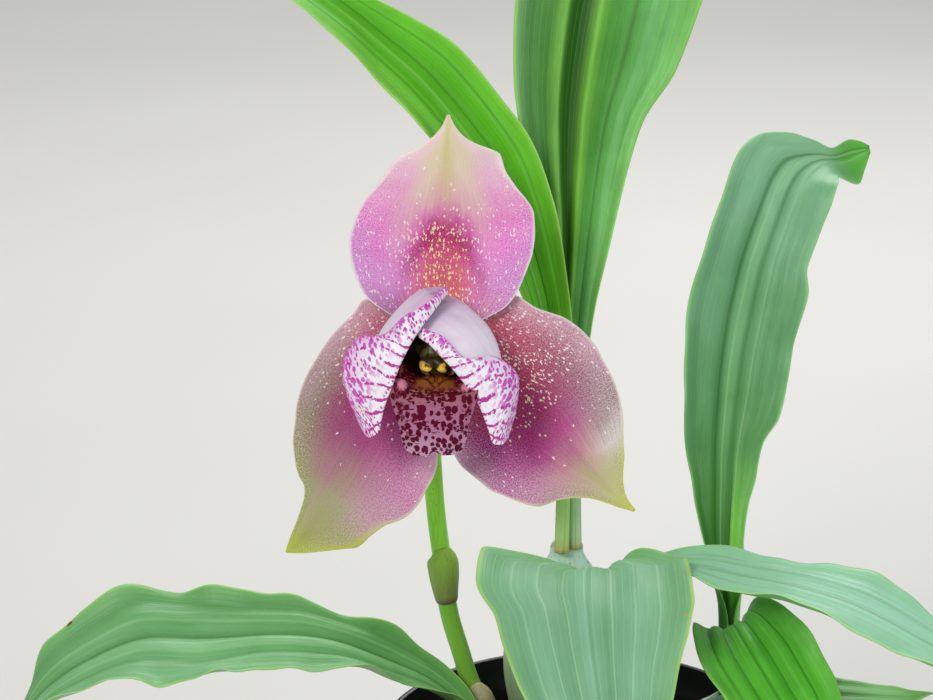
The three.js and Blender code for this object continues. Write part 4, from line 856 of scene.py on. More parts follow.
leaves = {
    "leaf_arching_left": {
        "spine": [
            (-6, 36.5, 150), (-5.8, 40, 178.9), (-7.6, 43, 204), (-12.7, 46, 233.8), (-23.2, 46, 265.4),
            (-34, 44.5, 283), (-46.8, 42, 299.3), (-59.2, 38, 311.6), (-73, 33, 324), (-91.7, 26, 336.8),
            (-113.5, 16, 347), (-134.6, 5, 352),
        ],
        "across": [
            (0, 0.95, 0.3, 0), (0.3, 0.9, 0.4, 0.2), (0.55, 0.6, 0.64, 0.48), (0.72, 0.42, 0.75, 0.5),
            (1, 0.3, 0.85, 0.4),
        ],
        "minus": [
            *stalk(6), (0.2, 7.2), (0.3, 10), (0.4, 14.5), (0.5, 18), (0.6, 20.5), (0.7, 20.5), (0.82, 16.5),
            (0.92, 9.5), (1, 0.4),
        ],
        "plus": [
            *stalk(6), (0.2, 7.2), (0.3, 8.5), (0.4, 11.5), (0.5, 13.8), (0.58, 13.4), (0.65, 10),
            (0.72, 6.2), (0.82, 4.6), (0.92, 3.2), (1, 0.4),
        ],
        "cup": [(0, 3.16), (0.13, 3.14), (0.2, 1.9), (0.28, 0.9), (0.45, 0.35), (0.7, 0.3), (1, 0.2)],
        "fold": [(0, 0), (0.3, 0.2), (0.5, 0.3), (0.8, 0.3), (1, 0.1)],
        "waves": [(1.6, 3, 0.4, 0.9), (0.3, 10.3, 1.4, 0.7)],
        "pleat": 0.8,
        "cells": (170, 52),
        "creases": [(-0.5, 0.8, 0.07), (-0.16, -0.6, 0.06), (0.12, 0.9, 0.07), (0.6, 0.5, 0.08)],
        "look": {
            "along": [
                (0.0, "#dcb878"), (0.018, "#c8ec98"), (0.11, "#b4f070"), (0.28, "#66b828"), (0.6, "#60c01c"),
                (1.0, "#6cbf3c"),
            ],
            # across: the darker green bands are painted shade on the blade
            "across": [
                (0.0, "#98cf52"), (0.1, "#86cc50"), (0.3, "#6ecc2c"), (0.42, "#4ca014"), (0.5, "#5ab41c"),
                (0.56, "#469410"), (0.7, "#60c01c"), (0.9, "#74d02c"), (1.0, "#9ad65a"),
            ],
            "share": 0.55, "deep": "#3f8a14", "vein": "#86cc48", "edge": "#a6dc66", "under": "#9cc870",
            "veins": 9.0, "lined": 0.14, "roughness": 0.46,
        },
    },
    "leaf_upright": {
        "spine": [
            (-1.6, 40, 150), (-2.2, 44, 184), (-2.4, 50, 218), (-0.2, 58, 248), (3.4, 66, 282.5),
            (9.3, 72, 317), (17.8, 82, 352), (29, 100, 383), (40, 125, 402.5),
        ],
        "across": [(0, 1, 0.1, 0), (1, 0.9, 0.1, -0.3)],
        "minus": [
            *stalk(6), (0.24, 8.5), (0.355, 15), (0.42, 21), (0.51, 28), (0.61, 31.5), (0.7, 32), (0.78, 29),
            (0.88, 20), (0.95, 9), (1, 0.4),
        ],
        "plus": [
            *stalk(6), (0.24, 7), (0.355, 10.5), (0.42, 13), (0.484, 16.5), (0.55, 24), (0.61, 26.5),
            (0.7, 28), (0.78, 26.5), (0.88, 18), (0.95, 8.5), (1, 0.4),
        ],
        "cup": [(0, 3.16), (0.13, 3.14), (0.2, 1.9), (0.25, 1.1), (0.4, 0.45), (0.6, 0.2), (1, 0.25)],
        "fold": [(0, 0), (0.3, 0.15), (1, 0.15)],
        "waves": [(2.5, 2.5, 2, 0.9), (0.3, 8.8, 3, 0.7)],
        "pleat": 1.4,
        "cells": (170, 60),
        "creases": [
            (-0.46, -0.8, 0.05), (-0.28, 0.9, 0.09), (-0.1, -0.9, 0.05), (0.3, 0.6, 0.08),
            (0.62, -0.4, 0.06),
        ],
        "look": {
            # along: the pale stalk stops are painted light, lifting the flower's shadow off the stalk
            "along": [
                (0.0, "#dcb878"), (0.015, "#d8f0c8"), (0.11, "#c8ecac"), (0.26, "#5f9c34"), (0.6, "#3f8a22"),
                (1.0, "#529636"),
            ],
            # across: painted shade in the dark fold between ridges of painted highlight, and painted sheen on
            # the brighter right side
            "across": [
                (0.0, "#84b07c"), (0.1, "#5d9150"), (0.2, "#3d7a2c"), (0.262, "#84c052"), (0.3, "#104400"),
                (0.4, "#103c00"), (0.45, "#7cc040"), (0.5, "#4c9630"), (0.65, "#6cbc60"), (0.8, "#84cc80"),
                (1.0, "#90d870"),
            ],
            "share": 0.72, "deep": "#22570e", "vein": "#7cc24c", "edge": "#93cc66", "under": "#7cb05e",
            "veins": 11.0, "lined": 0.16, "roughness": 0.46,
        },
    },
    "leaf_back_right": {
        "spine": [
            (46.5, 22, 107), (46.7, 34, 128.6), (47, 40, 145.4), (48.1, 48, 166.9), (49, 52, 179.8),
            (52.5, 58, 206.4), (57.5, 63, 231.5), (62.4, 67.5, 246.5), (68.2, 75, 258.5), (75.5, 84.5, 262.5),
            (84, 92, 262), (94, 96.5, 264),
        ],
        "across": [
            (0, 1, 0.1, 0), (0.6, 0.97, 0.1, -0.1), (0.8, 0.9, 0, -0.3), (0.9, 0.55, -0.4, -0.7),
            (1, -0.2, -0.3, -0.95),
        ],
        "minus": [
            *stalk(8.6), (0.14, 8.6), (0.2, 11.5), (0.25, 13.5), (0.3, 15.5), (0.35, 17), (0.4, 19),
            (0.45, 20.8), (0.5, 22.5), (0.6, 24.5), (0.68, 24), (0.76, 23), (0.805, 22.5), (0.84, 20),
            (0.87, 13), (0.9, 7), (0.93, 4), (0.965, 5.5), (0.985, 4), (1, 1.5),
        ],
        "plus": [
            *stalk(8.6), (0.14, 8.6), (0.2, 7), (0.25, 5.4), (0.3, 6.2), (0.35, 8.4), (0.4, 9), (0.45, 13),
            (0.5, 14.4), (0.65, 14.6), (0.7, 12.8), (0.8, 13.6), (0.86, 11), (0.9, 8.5), (0.93, 9),
            (0.955, 10), (0.98, 5.5), (1, 1),
        ],
        "cup": [(0, 2.9), (0.11, 2.75), (0.2, 1.5), (0.28, 0.8), (0.5, 0.35), (1, 0.3)],
        "fold": [(0, 0), (0.4, 0.2), (1, 0.15)],
        "waves": [(2.4, 4.5, 1, 0.9), (0.8, 9.5, 0.5, 0.9), (0.3, 14.8, 2, 0.7)],
        "pleat": 0.9,
        "cells": (150, 56),
        "creases": [(-0.36, 0.8, 0.08), (-0.22, -0.5, 0.04), (-0.06, 0.7, 0.07), (0.14, -0.5, 0.04)],
        "look": {
            # along: the pale bluish stops of the upper blade are painted sheen
            "along": [
                (0.0, "#b0e458"), (0.12, "#94e030"), (0.24, "#58a81c"), (0.4, "#50904c"), (0.6, "#6aa476"),
                (0.8, "#8cc09c"), (0.92, "#94c89c"), (0.955, "#58b01c"), (1.0, "#5cc010"),
            ],
            # across: dark lines of painted shade in the crease valleys, pale lines of painted highlight on
            # the ridges
            "across": [
                (0.0, "#74ac78"), (0.2, "#669e68"), (0.3, "#568f50"), (0.33, "#3c7a34"), (0.4, "#8cc47e"),
                (0.46, "#6aa468"), (0.5, "#3f8036"), (0.57, "#8cc082"), (0.7, "#6ca66e"), (0.8, "#62a05c"),
                (1.0, "#8cc48a"),
            ],
            # low: one wall of the stalk's trough in painted shade, the other in painted light
            "low": [
                (0.0, "#5ca038"), (0.1, "#2c7010"), (0.5, "#2e6c08"), (0.58, "#80d83c"), (1.0, "#94d870"),
            ],
            "share": 0.36, "deep": "#356f2a", "vein": "#94c48a", "edge": "#93c77c", "under": "#66b82c",
            "veins": 10.0, "lined": 0.12, "roughness": 0.44,
        },
    },
    "leaf_right": {
        "spine": [
            (9.2, 14, 127), (11.7, 14, 144.9), (20.2, 8, 154.7), (31.6, 0, 159.7), (46.7, -8, 159.5),
            (62.6, -16, 159), (79.2, -24, 156.2), (99.5, -32, 147.5), (118.2, -38, 138.5),
            (138.4, -42, 125.4),
        ],
        "across": [
            (0, -0.44, -0.85, 0), (0.35, -0.44, -0.85, 0.02), (0.6, -0.42, -0.87, 0.08), (1, -0.3, -0.9, 0),
        ],
        "minus": [
            *stalk(6.4), (0.15, 6.6), (0.22, 8), (0.3, 12), (0.36, 15.5), (0.42, 18.5), (0.5, 21), (0.6, 22),
            (0.7, 20.5), (0.82, 16), (0.92, 9.5), (1, 0.4),
        ],
        "plus": [
            *stalk(6.4), (0.15, 6.6), (0.22, 8), (0.3, 11), (0.36, 14), (0.42, 15.8), (0.5, 17.5),
            (0.6, 18.5), (0.7, 17.5), (0.82, 14), (0.92, 8), (1, 0.4),
        ],
        "cup": [(0, 2.4), (0.1, 2), (0.22, 0.8), (0.4, 0.25), (1, 0.2)],
        "waves": [(1.5, 3.5, 2.4, 0.9), (0.3, 11.8, 3.4, 0.7)],
        "pleat": 0.9,
        "cells": (140, 48),
        "creases": [(-0.45, 0.4, 0.08), (0.0, 0.7, 0.05), (0.45, 0.4, 0.08)],
        "look": {
            # along: the pale bluish green of the blade holds painted sheen
            "along": [
                (0.0, "#9dba7e"), (0.25, "#8cc49a"), (0.5, "#98ceb0"), (0.8, "#9cd2b4"), (1.0, "#84bc88"),
            ],
            "across": [
                (0.0, "#86bf84"), (0.2, "#8fc4a0"), (0.47, "#84ba94"), (0.5, "#6aa270"), (0.53, "#8cc29a"),
                (0.8, "#8ac096"), (0.93, "#78b462"), (1.0, "#9ccf7c"),
            ],
            "share": 0.5, "deep": "#70a878", "vein": "#b8e0c0", "edge": "#a5d488", "under": "#8fbe76",
            "veins": 9.0, "lined": 0.12, "roughness": 0.44,
        },
    },
    "leaf_front": {
        "spine": [
            (5.6, 15.5, 127), (5.1, 16, 142), (3.5, 12, 153), (0.9, -4, 158.8), (0.2, -22, 156.5),
            (0.9, -36, 148.9), (2.5, -48, 138.8), (3.6, -59, 125.4), (4.4, -66.5, 111), (5.2, -70.5, 95),
        ],
        "across": [(0, -1, 0, 0), (0.4, -1, 0, -0.06), (1, -1, 0.05, 0)],
        "minus": [
            *stalk(6.4), (0.12, 7), (0.18, 12), (0.24, 23), (0.3, 30.5), (0.38, 31), (0.456, 31),
            (0.53, 28.5), (0.62, 23.5), (0.7, 19.5), (0.8, 14.5), (0.92, 7), (1, 0.4),
        ],
        "plus": [
            *stalk(6.4), (0.12, 7), (0.18, 12), (0.24, 25), (0.29, 32.5), (0.38, 33), (0.456, 27.5),
            (0.53, 25.5), (0.62, 22.5), (0.7, 18.5), (0.8, 14), (0.92, 7), (1, 0.4),
        ],
        "cup": [(0, 2.4), (0.1, 2), (0.17, 0.9), (0.27, 0.4), (0.36, 0.3), (0.5, 0.2), (1, 0.3)],
        "waves": [(2.2, 3, 0.63, 1.57), (0.3, 10.3, 1.6, 0.7)],
        "pleat": 0.8,
        "cells": (140, 72),
        "creases": [
            (-0.68, -0.25, 0.03), (-0.45, -0.3, 0.03), (-0.22, -0.3, 0.03), (0.0, 0.5, 0.04),
            (0.22, -0.3, 0.03), (0.45, -0.3, 0.03), (0.68, -0.25, 0.03),
        ],
        "marks": [(0.035, 0.5, 0.012, "#b99a5c")],
        "look": {
            "along": [
                (0.0, "#9dbb7a"), (0.18, "#76b45c"), (0.28, "#84bc86"), (0.4, "#80b48c"), (0.65, "#7cae86"),
                (1.0, "#72a468"),
            ],
            "across": [
                (0.0, "#74b068"), (0.15, "#78b080"), (0.3, "#88bc9c"), (0.42, "#5c9464"), (0.52, "#90c4a8"),
                (0.62, "#689c70"), (0.8, "#84b894"), (0.9, "#6ca474"), (1.0, "#74b068"),
            ],
            "share": 0.55, "deep": "#5c9464", "vein": "#b0dab0", "edge": "#a8cf70", "under": "#90bd78",
            "veins": 9.0, "lined": 0.16, "roughness": 0.5,
        },
    },
    "leaf_left": {
        "spine": [
            (-32.5, 21.5, 84.5), (-32.8, 21.3, 93), (-36.6, 20, 103.8), (-46.5, 17.5, 113.9),
            (-61.8, 14, 122.6), (-77, 10, 130), (-94.6, 6, 133.2), (-115.8, 2, 133), (-133.5, -2, 134.6),
            (-148.2, -6, 130), (-160, -10, 123.4), (-167.6, -13, 115.6), (-172.4, -16, 106.5),
        ],
        "across": [(0, 0.1, 0.96, 0.1), (0.3, 0, 0.96, 0.28), (1, 0.1, 0.96, 0.2)],
        "minus": [
            *stalk(5.5), (0.14, 7), (0.19, 9.5), (0.24, 11), (0.285, 13), (0.38, 15.5), (0.43, 18),
            (0.52, 19), (0.57, 23), (0.62, 25.5), (0.67, 23), (0.76, 22), (0.86, 21), (0.92, 15), (0.965, 8),
            (1, 0.4),
        ],
        "plus": [
            *stalk(5.5), (0.14, 7), (0.19, 9), (0.24, 10.5), (0.285, 12.4), (0.38, 14), (0.43, 16),
            (0.52, 17.5), (0.57, 20.5), (0.62, 23.5), (0.67, 23.5), (0.76, 21.5), (0.86, 19), (0.92, 14),
            (0.965, 7.5), (1, 0.4),
        ],
        "cup": [(0, 2.3), (0.12, 1.8), (0.2, 0.8), (0.4, 0.4), (0.7, 0.3), (1, 0.2)],
        "fold": [(0, 0), (0.3, 0.1), (1, 0.1)],
        "waves": [(2.6, 4, 0.2, 0.9), (1.5, 7, 0.6, 0.9), (0.3, 15.3, 1.2, 0.7)],
        "pleat": 0.9,
        "cells": (160, 52),
        "creases": [(-0.32, 1.3, 0.07), (-0.12, -0.4, 0.06), (0.2, 1.4, 0.07), (0.42, -0.4, 0.06)],
        "marks": [(0.985, 0.8, 0.018, "#6a4a2c")],
        "look": {
            "along": [
                (0.0, "#9cb777"), (0.15, "#74b456"), (0.3, "#6cb05c"), (0.5, "#6eaa70"), (0.8, "#76ae7a"),
                (1.0, "#72a96e"),
            ],
            # across: the two dark lines are painted shade in the crease valleys
            "across": [
                (0.0, "#82ba80"), (0.2, "#7cb47c"), (0.31, "#62a05e"), (0.34, "#37762e"), (0.4, "#6eab6e"),
                (0.5, "#84bc82"), (0.57, "#6ca868"), (0.6, "#367230"), (0.66, "#6aa866"), (0.78, "#62a05a"),
                (0.9, "#56944c"), (1.0, "#82bc68"),
            ],
            "share": 0.6, "deep": "#4c8a44", "vein": "#92c48c", "edge": "#9ccc70", "under": "#8fbe76",
            "veins": 11.0, "lined": 0.12, "roughness": 0.44,
        },
    },
    "leaf_small_right": {
        "spine": [
            (50.5, 6.5, 85), (49.5, 6.5, 104), (47.6, 6.5, 127), (46.6, 5, 135.5), (45.6, -3, 142.2),
            (48.8, -16, 140.4), (54, -30, 134.8), (60, -42, 127.6), (66.4, -54, 118.4), (71.4, -62, 109.4),
        ],
        "across": [
            (0, -0.85, -0.5, 0), (0.45, -0.85, -0.5, -0.22), (0.7, -0.85, -0.5, -0.1), (1, -0.85, -0.5, 0.1),
        ],
        "minus": [
            *stalk(5), (0.35, 6), (0.42, 10), (0.5, 15), (0.6, 18), (0.7, 18.5), (0.85, 12.5), (0.95, 5.5),
            (1, 0.4),
        ],
        "plus": [
            *stalk(5), (0.35, 6), (0.42, 10), (0.5, 16), (0.6, 18.5), (0.7, 18.5), (0.85, 12.5), (0.95, 5.5),
            (1, 0.4),
        ],
        "cup": [(0, 2.3), (0.25, 1.9), (0.4, 0.9), (0.6, 0.45), (1, 0.3)],
        "waves": [(1.4, 2.5, 0.5, 0.9), (0.3, 8.8, 1.5, 0.7)],
        "pleat": 0.9,
        "cells": (110, 44),
        "creases": [
            (-0.56, 0.8, 0.05), (-0.26, 0.9, 0.05), (0.04, 0.9, 0.05), (0.34, 0.9, 0.05), (0.64, 0.6, 0.05),
            (-0.4, -0.3, 0.04), (0.18, -0.3, 0.04),
        ],
        "look": {
            "along": [
                (0.0, "#a2bf6c"), (0.3, "#6fae52"), (0.45, "#68c04c"), (0.7, "#5cc42c"), (1.0, "#5cc02c"),
            ],
            "across": [
                (0.0, "#7cbf5a"), (0.2, "#58b432"), (0.36, "#4ca426"), (0.5, "#5ab834"), (0.7, "#4ea828"),
                (1.0, "#76bc54"),
            ],
            "share": 0.5, "deep": "#26690f", "vein": "#78ba58", "edge": "#92cf66", "under": "#7cb65a",
            "veins": 9.0, "lined": 0.2, "roughness": 0.42,
        },
    },
    "leaf_low_right": {
        "spine": [
            (50, 0, 85), (51.2, 0, 100), (58, 0, 110.5), (66, -1, 115.6), (76, -3, 117.4), (87, -5, 118),
            (97, -9, 120), (104, -12, 124),
        ],
        "across": [(0, -0.1, -1, 0), (1, -0.3, -0.95, 0)],
        "minus": [*stalk(4), (0.2, 5), (0.4, 8), (0.6, 10.5), (0.8, 8.5), (0.93, 4), (1, 0.4)],
        "cup": [(0, 2.3), (0.2, 1.7), (0.4, 0.7), (1, 0.3)],
        "waves": [(1, 2.5, 0, 0.9), (0.3, 8.8, 1, 0.7)],
        "pleat": 0.7,
        "cells": (80, 32),
        "creases": [(-0.3, 0.5, 0.06), (0.0, 0.6, 0.06), (0.35, 0.5, 0.06)],
        "look": {
            "along": [(0.0, "#b4c480"), (0.4, "#6fae5c"), (0.7, "#68a85e"), (1.0, "#6aa648")],
            "across": [(0.0, "#86c46c"), (0.5, "#62a252"), (1.0, "#86c46c")],
            "share": 0.5, "deep": "#468434", "vein": "#90c47c", "edge": "#a9d67c", "under": "#90bd74",
            "veins": 7.0, "lined": 0.2, "roughness": 0.42,
        },
    },
}


def leafSkin(name, leaf, underneath=False):
    look = leaf["look"]
    plain = {
        "Specular IOR Level": 0.3, "Subsurface Weight": 0.15, "Subsurface Scale": 0.0012,
        "Subsurface Radius": (0.5, 1.0, 0.2),
    }
    material, board, shader = newMaterial(name, plain)
    share, real, place = board.map("share"), board.map("real"), board.place()
    across, along = board.parts(share)[:2]
    side = board.timesPlus(across, 2.0, -1.0)
    reach = board.positive(side)
    colour = board.mix(look["share"], board.ramp(along, look["along"]), board.ramp(across, look["across"]))
    stalkTone = board.span(along, 0.22, 0.08)
    colour = board.mix(stalkTone, colour, board.ramp(along, look["along"]))
    if "low" in look:  # the shaded and the lit wall of the trough
        colour = board.mix(board.span(along, 0.42, 0.2), colour, board.ramp(across, look["low"]))
    cloud = board.span(board.noise(real, 0.5, 3.0, 0.55), 0.35, 0.7)
    colour = board.mix(board.times(cloud, 0.22), colour, look["deep"])
    bent = board.timesPlus(board.drift(real, 0.35, 2.0), 0.03, side)
    # Painted shade: crease valleys darken towards the deep colour. Painted highlight: ridges lighten towards
    # the vein colour, over their real pale veins.
    for middle, depth, spread in leaf["creases"]:
        fold = board.hump(bent, middle, spread * (0.9 if depth > 0 else 0.6))
        fold = board.times(fold, min(0.65, 0.3 + 0.4 * abs(depth)))
        colour = board.mix(fold, colour, look["deep"] if depth > 0 else look["vein"])
    thin = board.group(lines, {
        "Vector": board.stretch(real, 1.0, 0.15, 1.0), "Across": across, "Count": look["veins"] * 3.0,
        "Width": 0.15, "Bend": 0.2,
    })
    streak = board.group(fibres, {"Vector": real, "Fineness": 10.0, "Contrast": 1.0})
    colour = board.mix(board.span(streak, 0.45, 0.8, 0.0, 0.16), colour, look["deep"])
    lit = board.larger(board.times(thin, look["lined"]), board.span(streak, 0.45, 0.1, 0.0, 0.2))
    colour = board.mix(lit, colour, look["vein"])
    colour = board.mix(board.span(reach, 0.94, 0.995, 0.0, 0.8), colour, look["edge"])
    if underneath:
        colour = board.mix(board.span(along, 0.12, 0.22, 0.15, 0.5), colour, look["under"])
    for spot in leaf.get("marks", ()):  # across, along, size, colour
        offset = board.joined(board.minus(across, spot[0]), board.minus(along, spot[1]))
        offset = board.stretch(offset, 1.0, 2.6, 1.0)
        away = board.vector("LENGTH", offset)
        away = board.timesPlus(board.noise(place, 900.0, 3.0), spot[2] * 0.8, away)
        colour = board.mix(board.span(away, spot[2] * 1.5, spot[2] * 0.9), colour, spot[3])
    board.feed(shader["Base Color"], colour)
    gloss = board.noise(real, 2.5, 3.0, 0.6)
    board.feed(shader["Roughness"], board.timesPlus(gloss, 0.16, look["roughness"] - 0.08))
    relief = board.timesPlus(thin, 0.5, board.times(streak, 0.5))
    relief = board.plus(relief, board.times(board.noise(real, 26.0, 3.0, 0.65), 0.22))
    board.feed(shader["Normal"], board.bump(relief, 0.4, 0.0003))
    return material


def makeLeaves():
    for node, leaf in leaves.items():
        name = camelName(node)
        materials = [leafSkin(name + "Face", leaf), leafSkin(name + "Back", leaf, underneath=True)]
        piece = bladePiece(name, {**leaf, "thickness": 0.8}, materials)
        seat(piece, "leaf", node)


makeLeaves()
print("leaves made")


# Flower stalk, its two sleeve bracts and the hooded bract under the flower
flowerStalk = {
    "path": [
        (-24.5, 30.5, 84.5), (-27.5, 30, 94), (-31.6, 30, 102.8), (-34.6, 30, 110), (-37, 30, 118.5),
        (-40, 30, 129), (-41.6, 30, 138), (-42.6, 30, 148.5), (-44, 29, 160), (-45, 28, 171),
        (-45.7, 26.5, 184), (-46, 25.6, 196), (-45.8, 25.6, 206),
    ],
    "sizes": {"Foot radius": 0.0034, "Radius": 0.0029, "Sides": 32},
    # along: the bright upper stops are partly painted light, lifting the scape's shade
    "along": [(0.0, "#a4ac54"), (0.12, "#80b440"), (0.45, "#78c030"), (0.6, "#a0f040"), (1.0, "#a8fc4c")],
    "deep": "#78c430",
    "heights": (0.0845, 0.206),  # in metres, where the colours start and end
    "steps": 120,
}

sleeves = {
    "scape_bract": {
        "from": 0.435, "to": 0.59, "swell": 0.95,
        "along": [
            (0.0, "#6c5c44"), (0.05, "#84904a"), (0.4, "#9ccc48"), (0.75, "#a4d450"), (1.0, "#b4bc70"),
        ],
    },
    "scape_base_bract": {
        "from": 0.05, "to": 0.205, "swell": 0.7,
        "along": [(0.0, "#8a7248"), (0.4, "#b9ad84"), (0.8, "#cfc6a0"), (1.0, "#d8d0b0")],
    },
}

sleeveShape = {"bore": 3.2, "wall": 0.75, "rings": 45, "sides": 40}  # the bore clears the stalk by 0.3

hoodBract = {
    "spine": [
        (-45.9, 29.5, 192), (-45.8, 30.2, 202), (-45.4, 31.5, 212), (-44.6, 31, 222), (-43.8, 28.5, 231),
    ],
    "minus": [(0, 7.6), (0.3, 8.6), (0.6, 7.6), (0.85, 4.2), (1, 0.5)],  # and the same for plus
    "cup": [(0, 2.05), (0.4, 1.7), (1, 0.6)],
    "pleat": 0.2,
    "thickness": 0.7,
    "cells": (60, 36),
    "along": [(0.0, "#b3a25e"), (0.25, "#a0ad5a"), (0.8, "#a9b768"), (1.0, "#c2b682")],
}


# The stops run along the piece's map, or between two heights.
def stalkSkin(name, stops, deep, roughness=0.4, heights=None):
    plain = {
        "Specular IOR Level": 0.5, "Subsurface Weight": 0.15, "Subsurface Scale": 0.0012,
        "Subsurface Radius": (0.6, 1.0, 0.25),
    }
    material, board, shader = newMaterial(name, plain)
    place = board.place()
    along = board.span(board.parts(place)[2], *heights) if heights else board.parts(board.map("share"))[1]
    cloud = board.noise(place, 120.0, 3.0)
    colour = board.ramp(board.timesPlus(board.minus(cloud, 0.5), 0.08, along), stops)
    grain = board.noise(board.stretch(place, 1500.0, 1500.0, 70.0), 1.0, 3.0, 0.6)
    colour = board.mix(board.span(grain, 0.45, 0.75, 0.0, 0.5), colour, deep)
    speckled = board.stretch(place, 1100.0, 1100.0, 700.0)
    fleck = board.group(spots, {"Vector": speckled, "Share": 0.2, "Size": 0.2})
    board.feed(shader["Base Color"], board.mix(board.times(fleck, 0.3), colour, "#8a7a4c"))
    board.feed(shader["Roughness"], board.timesPlus(cloud, 0.15, roughness - 0.07))
    board.feed(shader["Normal"], board.bump(grain, 0.35, 0.0004))
    return material


def tubeTree(material):
    board, given = geometryTree("stalkTube", flowerStalk["sizes"])
    line = board.add("GeometryNodeMeshToCurve", {0: given["Geometry"]}).outputs[0]
    along = board.add("GeometryNodeSplineParameter").outputs[0]
    foot = board.span(along, 0.15, 0.0)
    wider = board.minus(given["Foot radius"], given["Radius"])
    girth = board.timesPlus(foot, wider, given["Radius"])
    node = board.times(board.hump(along, 0.51, 0.035), 0.0003)
    girth = board.plus(girth, node)
    circle = {"Resolution": given["Sides"], "Radius": 1.0}
    ring = board.add("GeometryNodeCurvePrimitiveCircle", circle).outputs[0]
    around = board.add("GeometryNodeSplineParameter").outputs[0]
    ribbed = board.math("SINE", board.times(around, 44.0))
    spot = board.add("GeometryNodeInputPosition").outputs[0]
    rib = board.vector("SCALE", spot, board.times(ribbed, 0.012))
    ring = board.add("GeometryNodeSetPosition", {"Geometry": ring, "Offset": rib}).outputs[0]
    tube = board.add("GeometryNodeCurveToMesh", {
        "Curve": line, "Profile Curve": ring, "Scale": girth, "Fill Caps": True,
    })
    smooth = board.add("GeometryNodeSetShadeSmooth", {0: tube.outputs[0]}).outputs[0]
    return endTree(board, smooth, material)


def stalkLine(path, start, end, count):
    return pathFrames(path, levelAcross, np.linspace(start, end, count))["point"]


def makeStalk():
    colours, steps = flowerStalk["along"], flowerStalk["steps"]
    material = stalkSkin("stalkSkin", colours, flowerStalk["deep"], heights=flowerStalk["heights"])
    line = stalkLine(flowerStalk["path"], 0, 1, steps + 1) * millimetre
    mesh = bpy.data.meshes.new("flowerStalk")
    mesh.from_pydata(line.tolist(), [(i, i + 1) for i in range(steps)], [])
    piece = growNodes(linked("flowerStalk", mesh), tubeTree(material), flowerStalk["sizes"])
    seat(piece, "stalk", "scape")


def makeSleeves():
    bore = sleeveShape["bore"]
    rim = bore + sleeveShape["wall"]
    place = np.linspace(0, 1, sleeveShape["rings"])
    level = np.concatenate([place, place[::-1]])
    angle = np.linspace(0, 2 * math.pi, sleeveShape["sides"], endpoint=False)[None, :]
    pleat = 1 + 0.02 * np.cos(9 * angle) * np.sin(math.pi * level)[:, None]
    slant = 6.5 * np.clip((level[:, None] - 0.5) / 0.5, 0, 1) ** 2 * (np.cos(angle + 1.2) - 1) / 2
    for node, sleeve in sleeves.items():
        material = stalkSkin(camelName(node), sleeve["along"], "#708038", roughness=0.5)
        swell = sleeve["swell"]
        axis = stalkLine(flowerStalk["path"], sleeve["from"], sleeve["to"], 5)
        frames = pathFrames(axis, levelAcross, level)
        outer = rowCurve([
            (0, rim - 0.6), (0.05, rim - 0.35), (0.22, rim + 0.15 * swell), (0.5, rim + 0.85 * swell),
            (0.68, rim + swell), (0.85, rim + 0.4 * swell), (0.95, rim - 0.3), (1, rim - 0.62),
        ])
        radius = np.concatenate([outer(place), np.full(len(place), bore)])[:, None]
        radius = radius * np.where(radius > bore + 0.1, pleat, 1)
        rings = frames["point"][:, None] + (radius * np.cos(angle))[..., None] * frames["across"][:, None]
        rings = rings - (radius * np.sin(angle))[..., None] * frames["normal"][:, None]
        rings = rings + slant[..., None] * frames["tangent"][:, None]
        piece = ringPiece(camelName(node), rings, [material], loop=True)
        seat(piece, "stalk", node)


def makeHood():
    face = stalkSkin("hoodBractFace", hoodBract["along"], "#7f8a44", roughness=0.5)
    piece = bladePiece("floralBract", hoodBract, [face, face])
    seat(piece, "stalk", "floral_bract")


makeStalk()
makeSleeves()
makeHood()
print("stalk made")


# The flower stands in its own frame, tipped back by 72 degrees
flowerPlace = {"tilt": 72, "origin": (-43, 7.55, 225.4)}


def inFlower(points):
    tilt = math.radians(flowerPlace["tilt"])
    x, y, z = points[..., 0], points[..., 1], points[..., 2]
    turned = np.stack([
        x,
        y * math.cos(tilt) - z * math.sin(tilt),
        y * math.sin(tilt) + z * math.cos(tilt),
    ], axis=-1)
    return turned + np.array(flowerPlace["origin"])


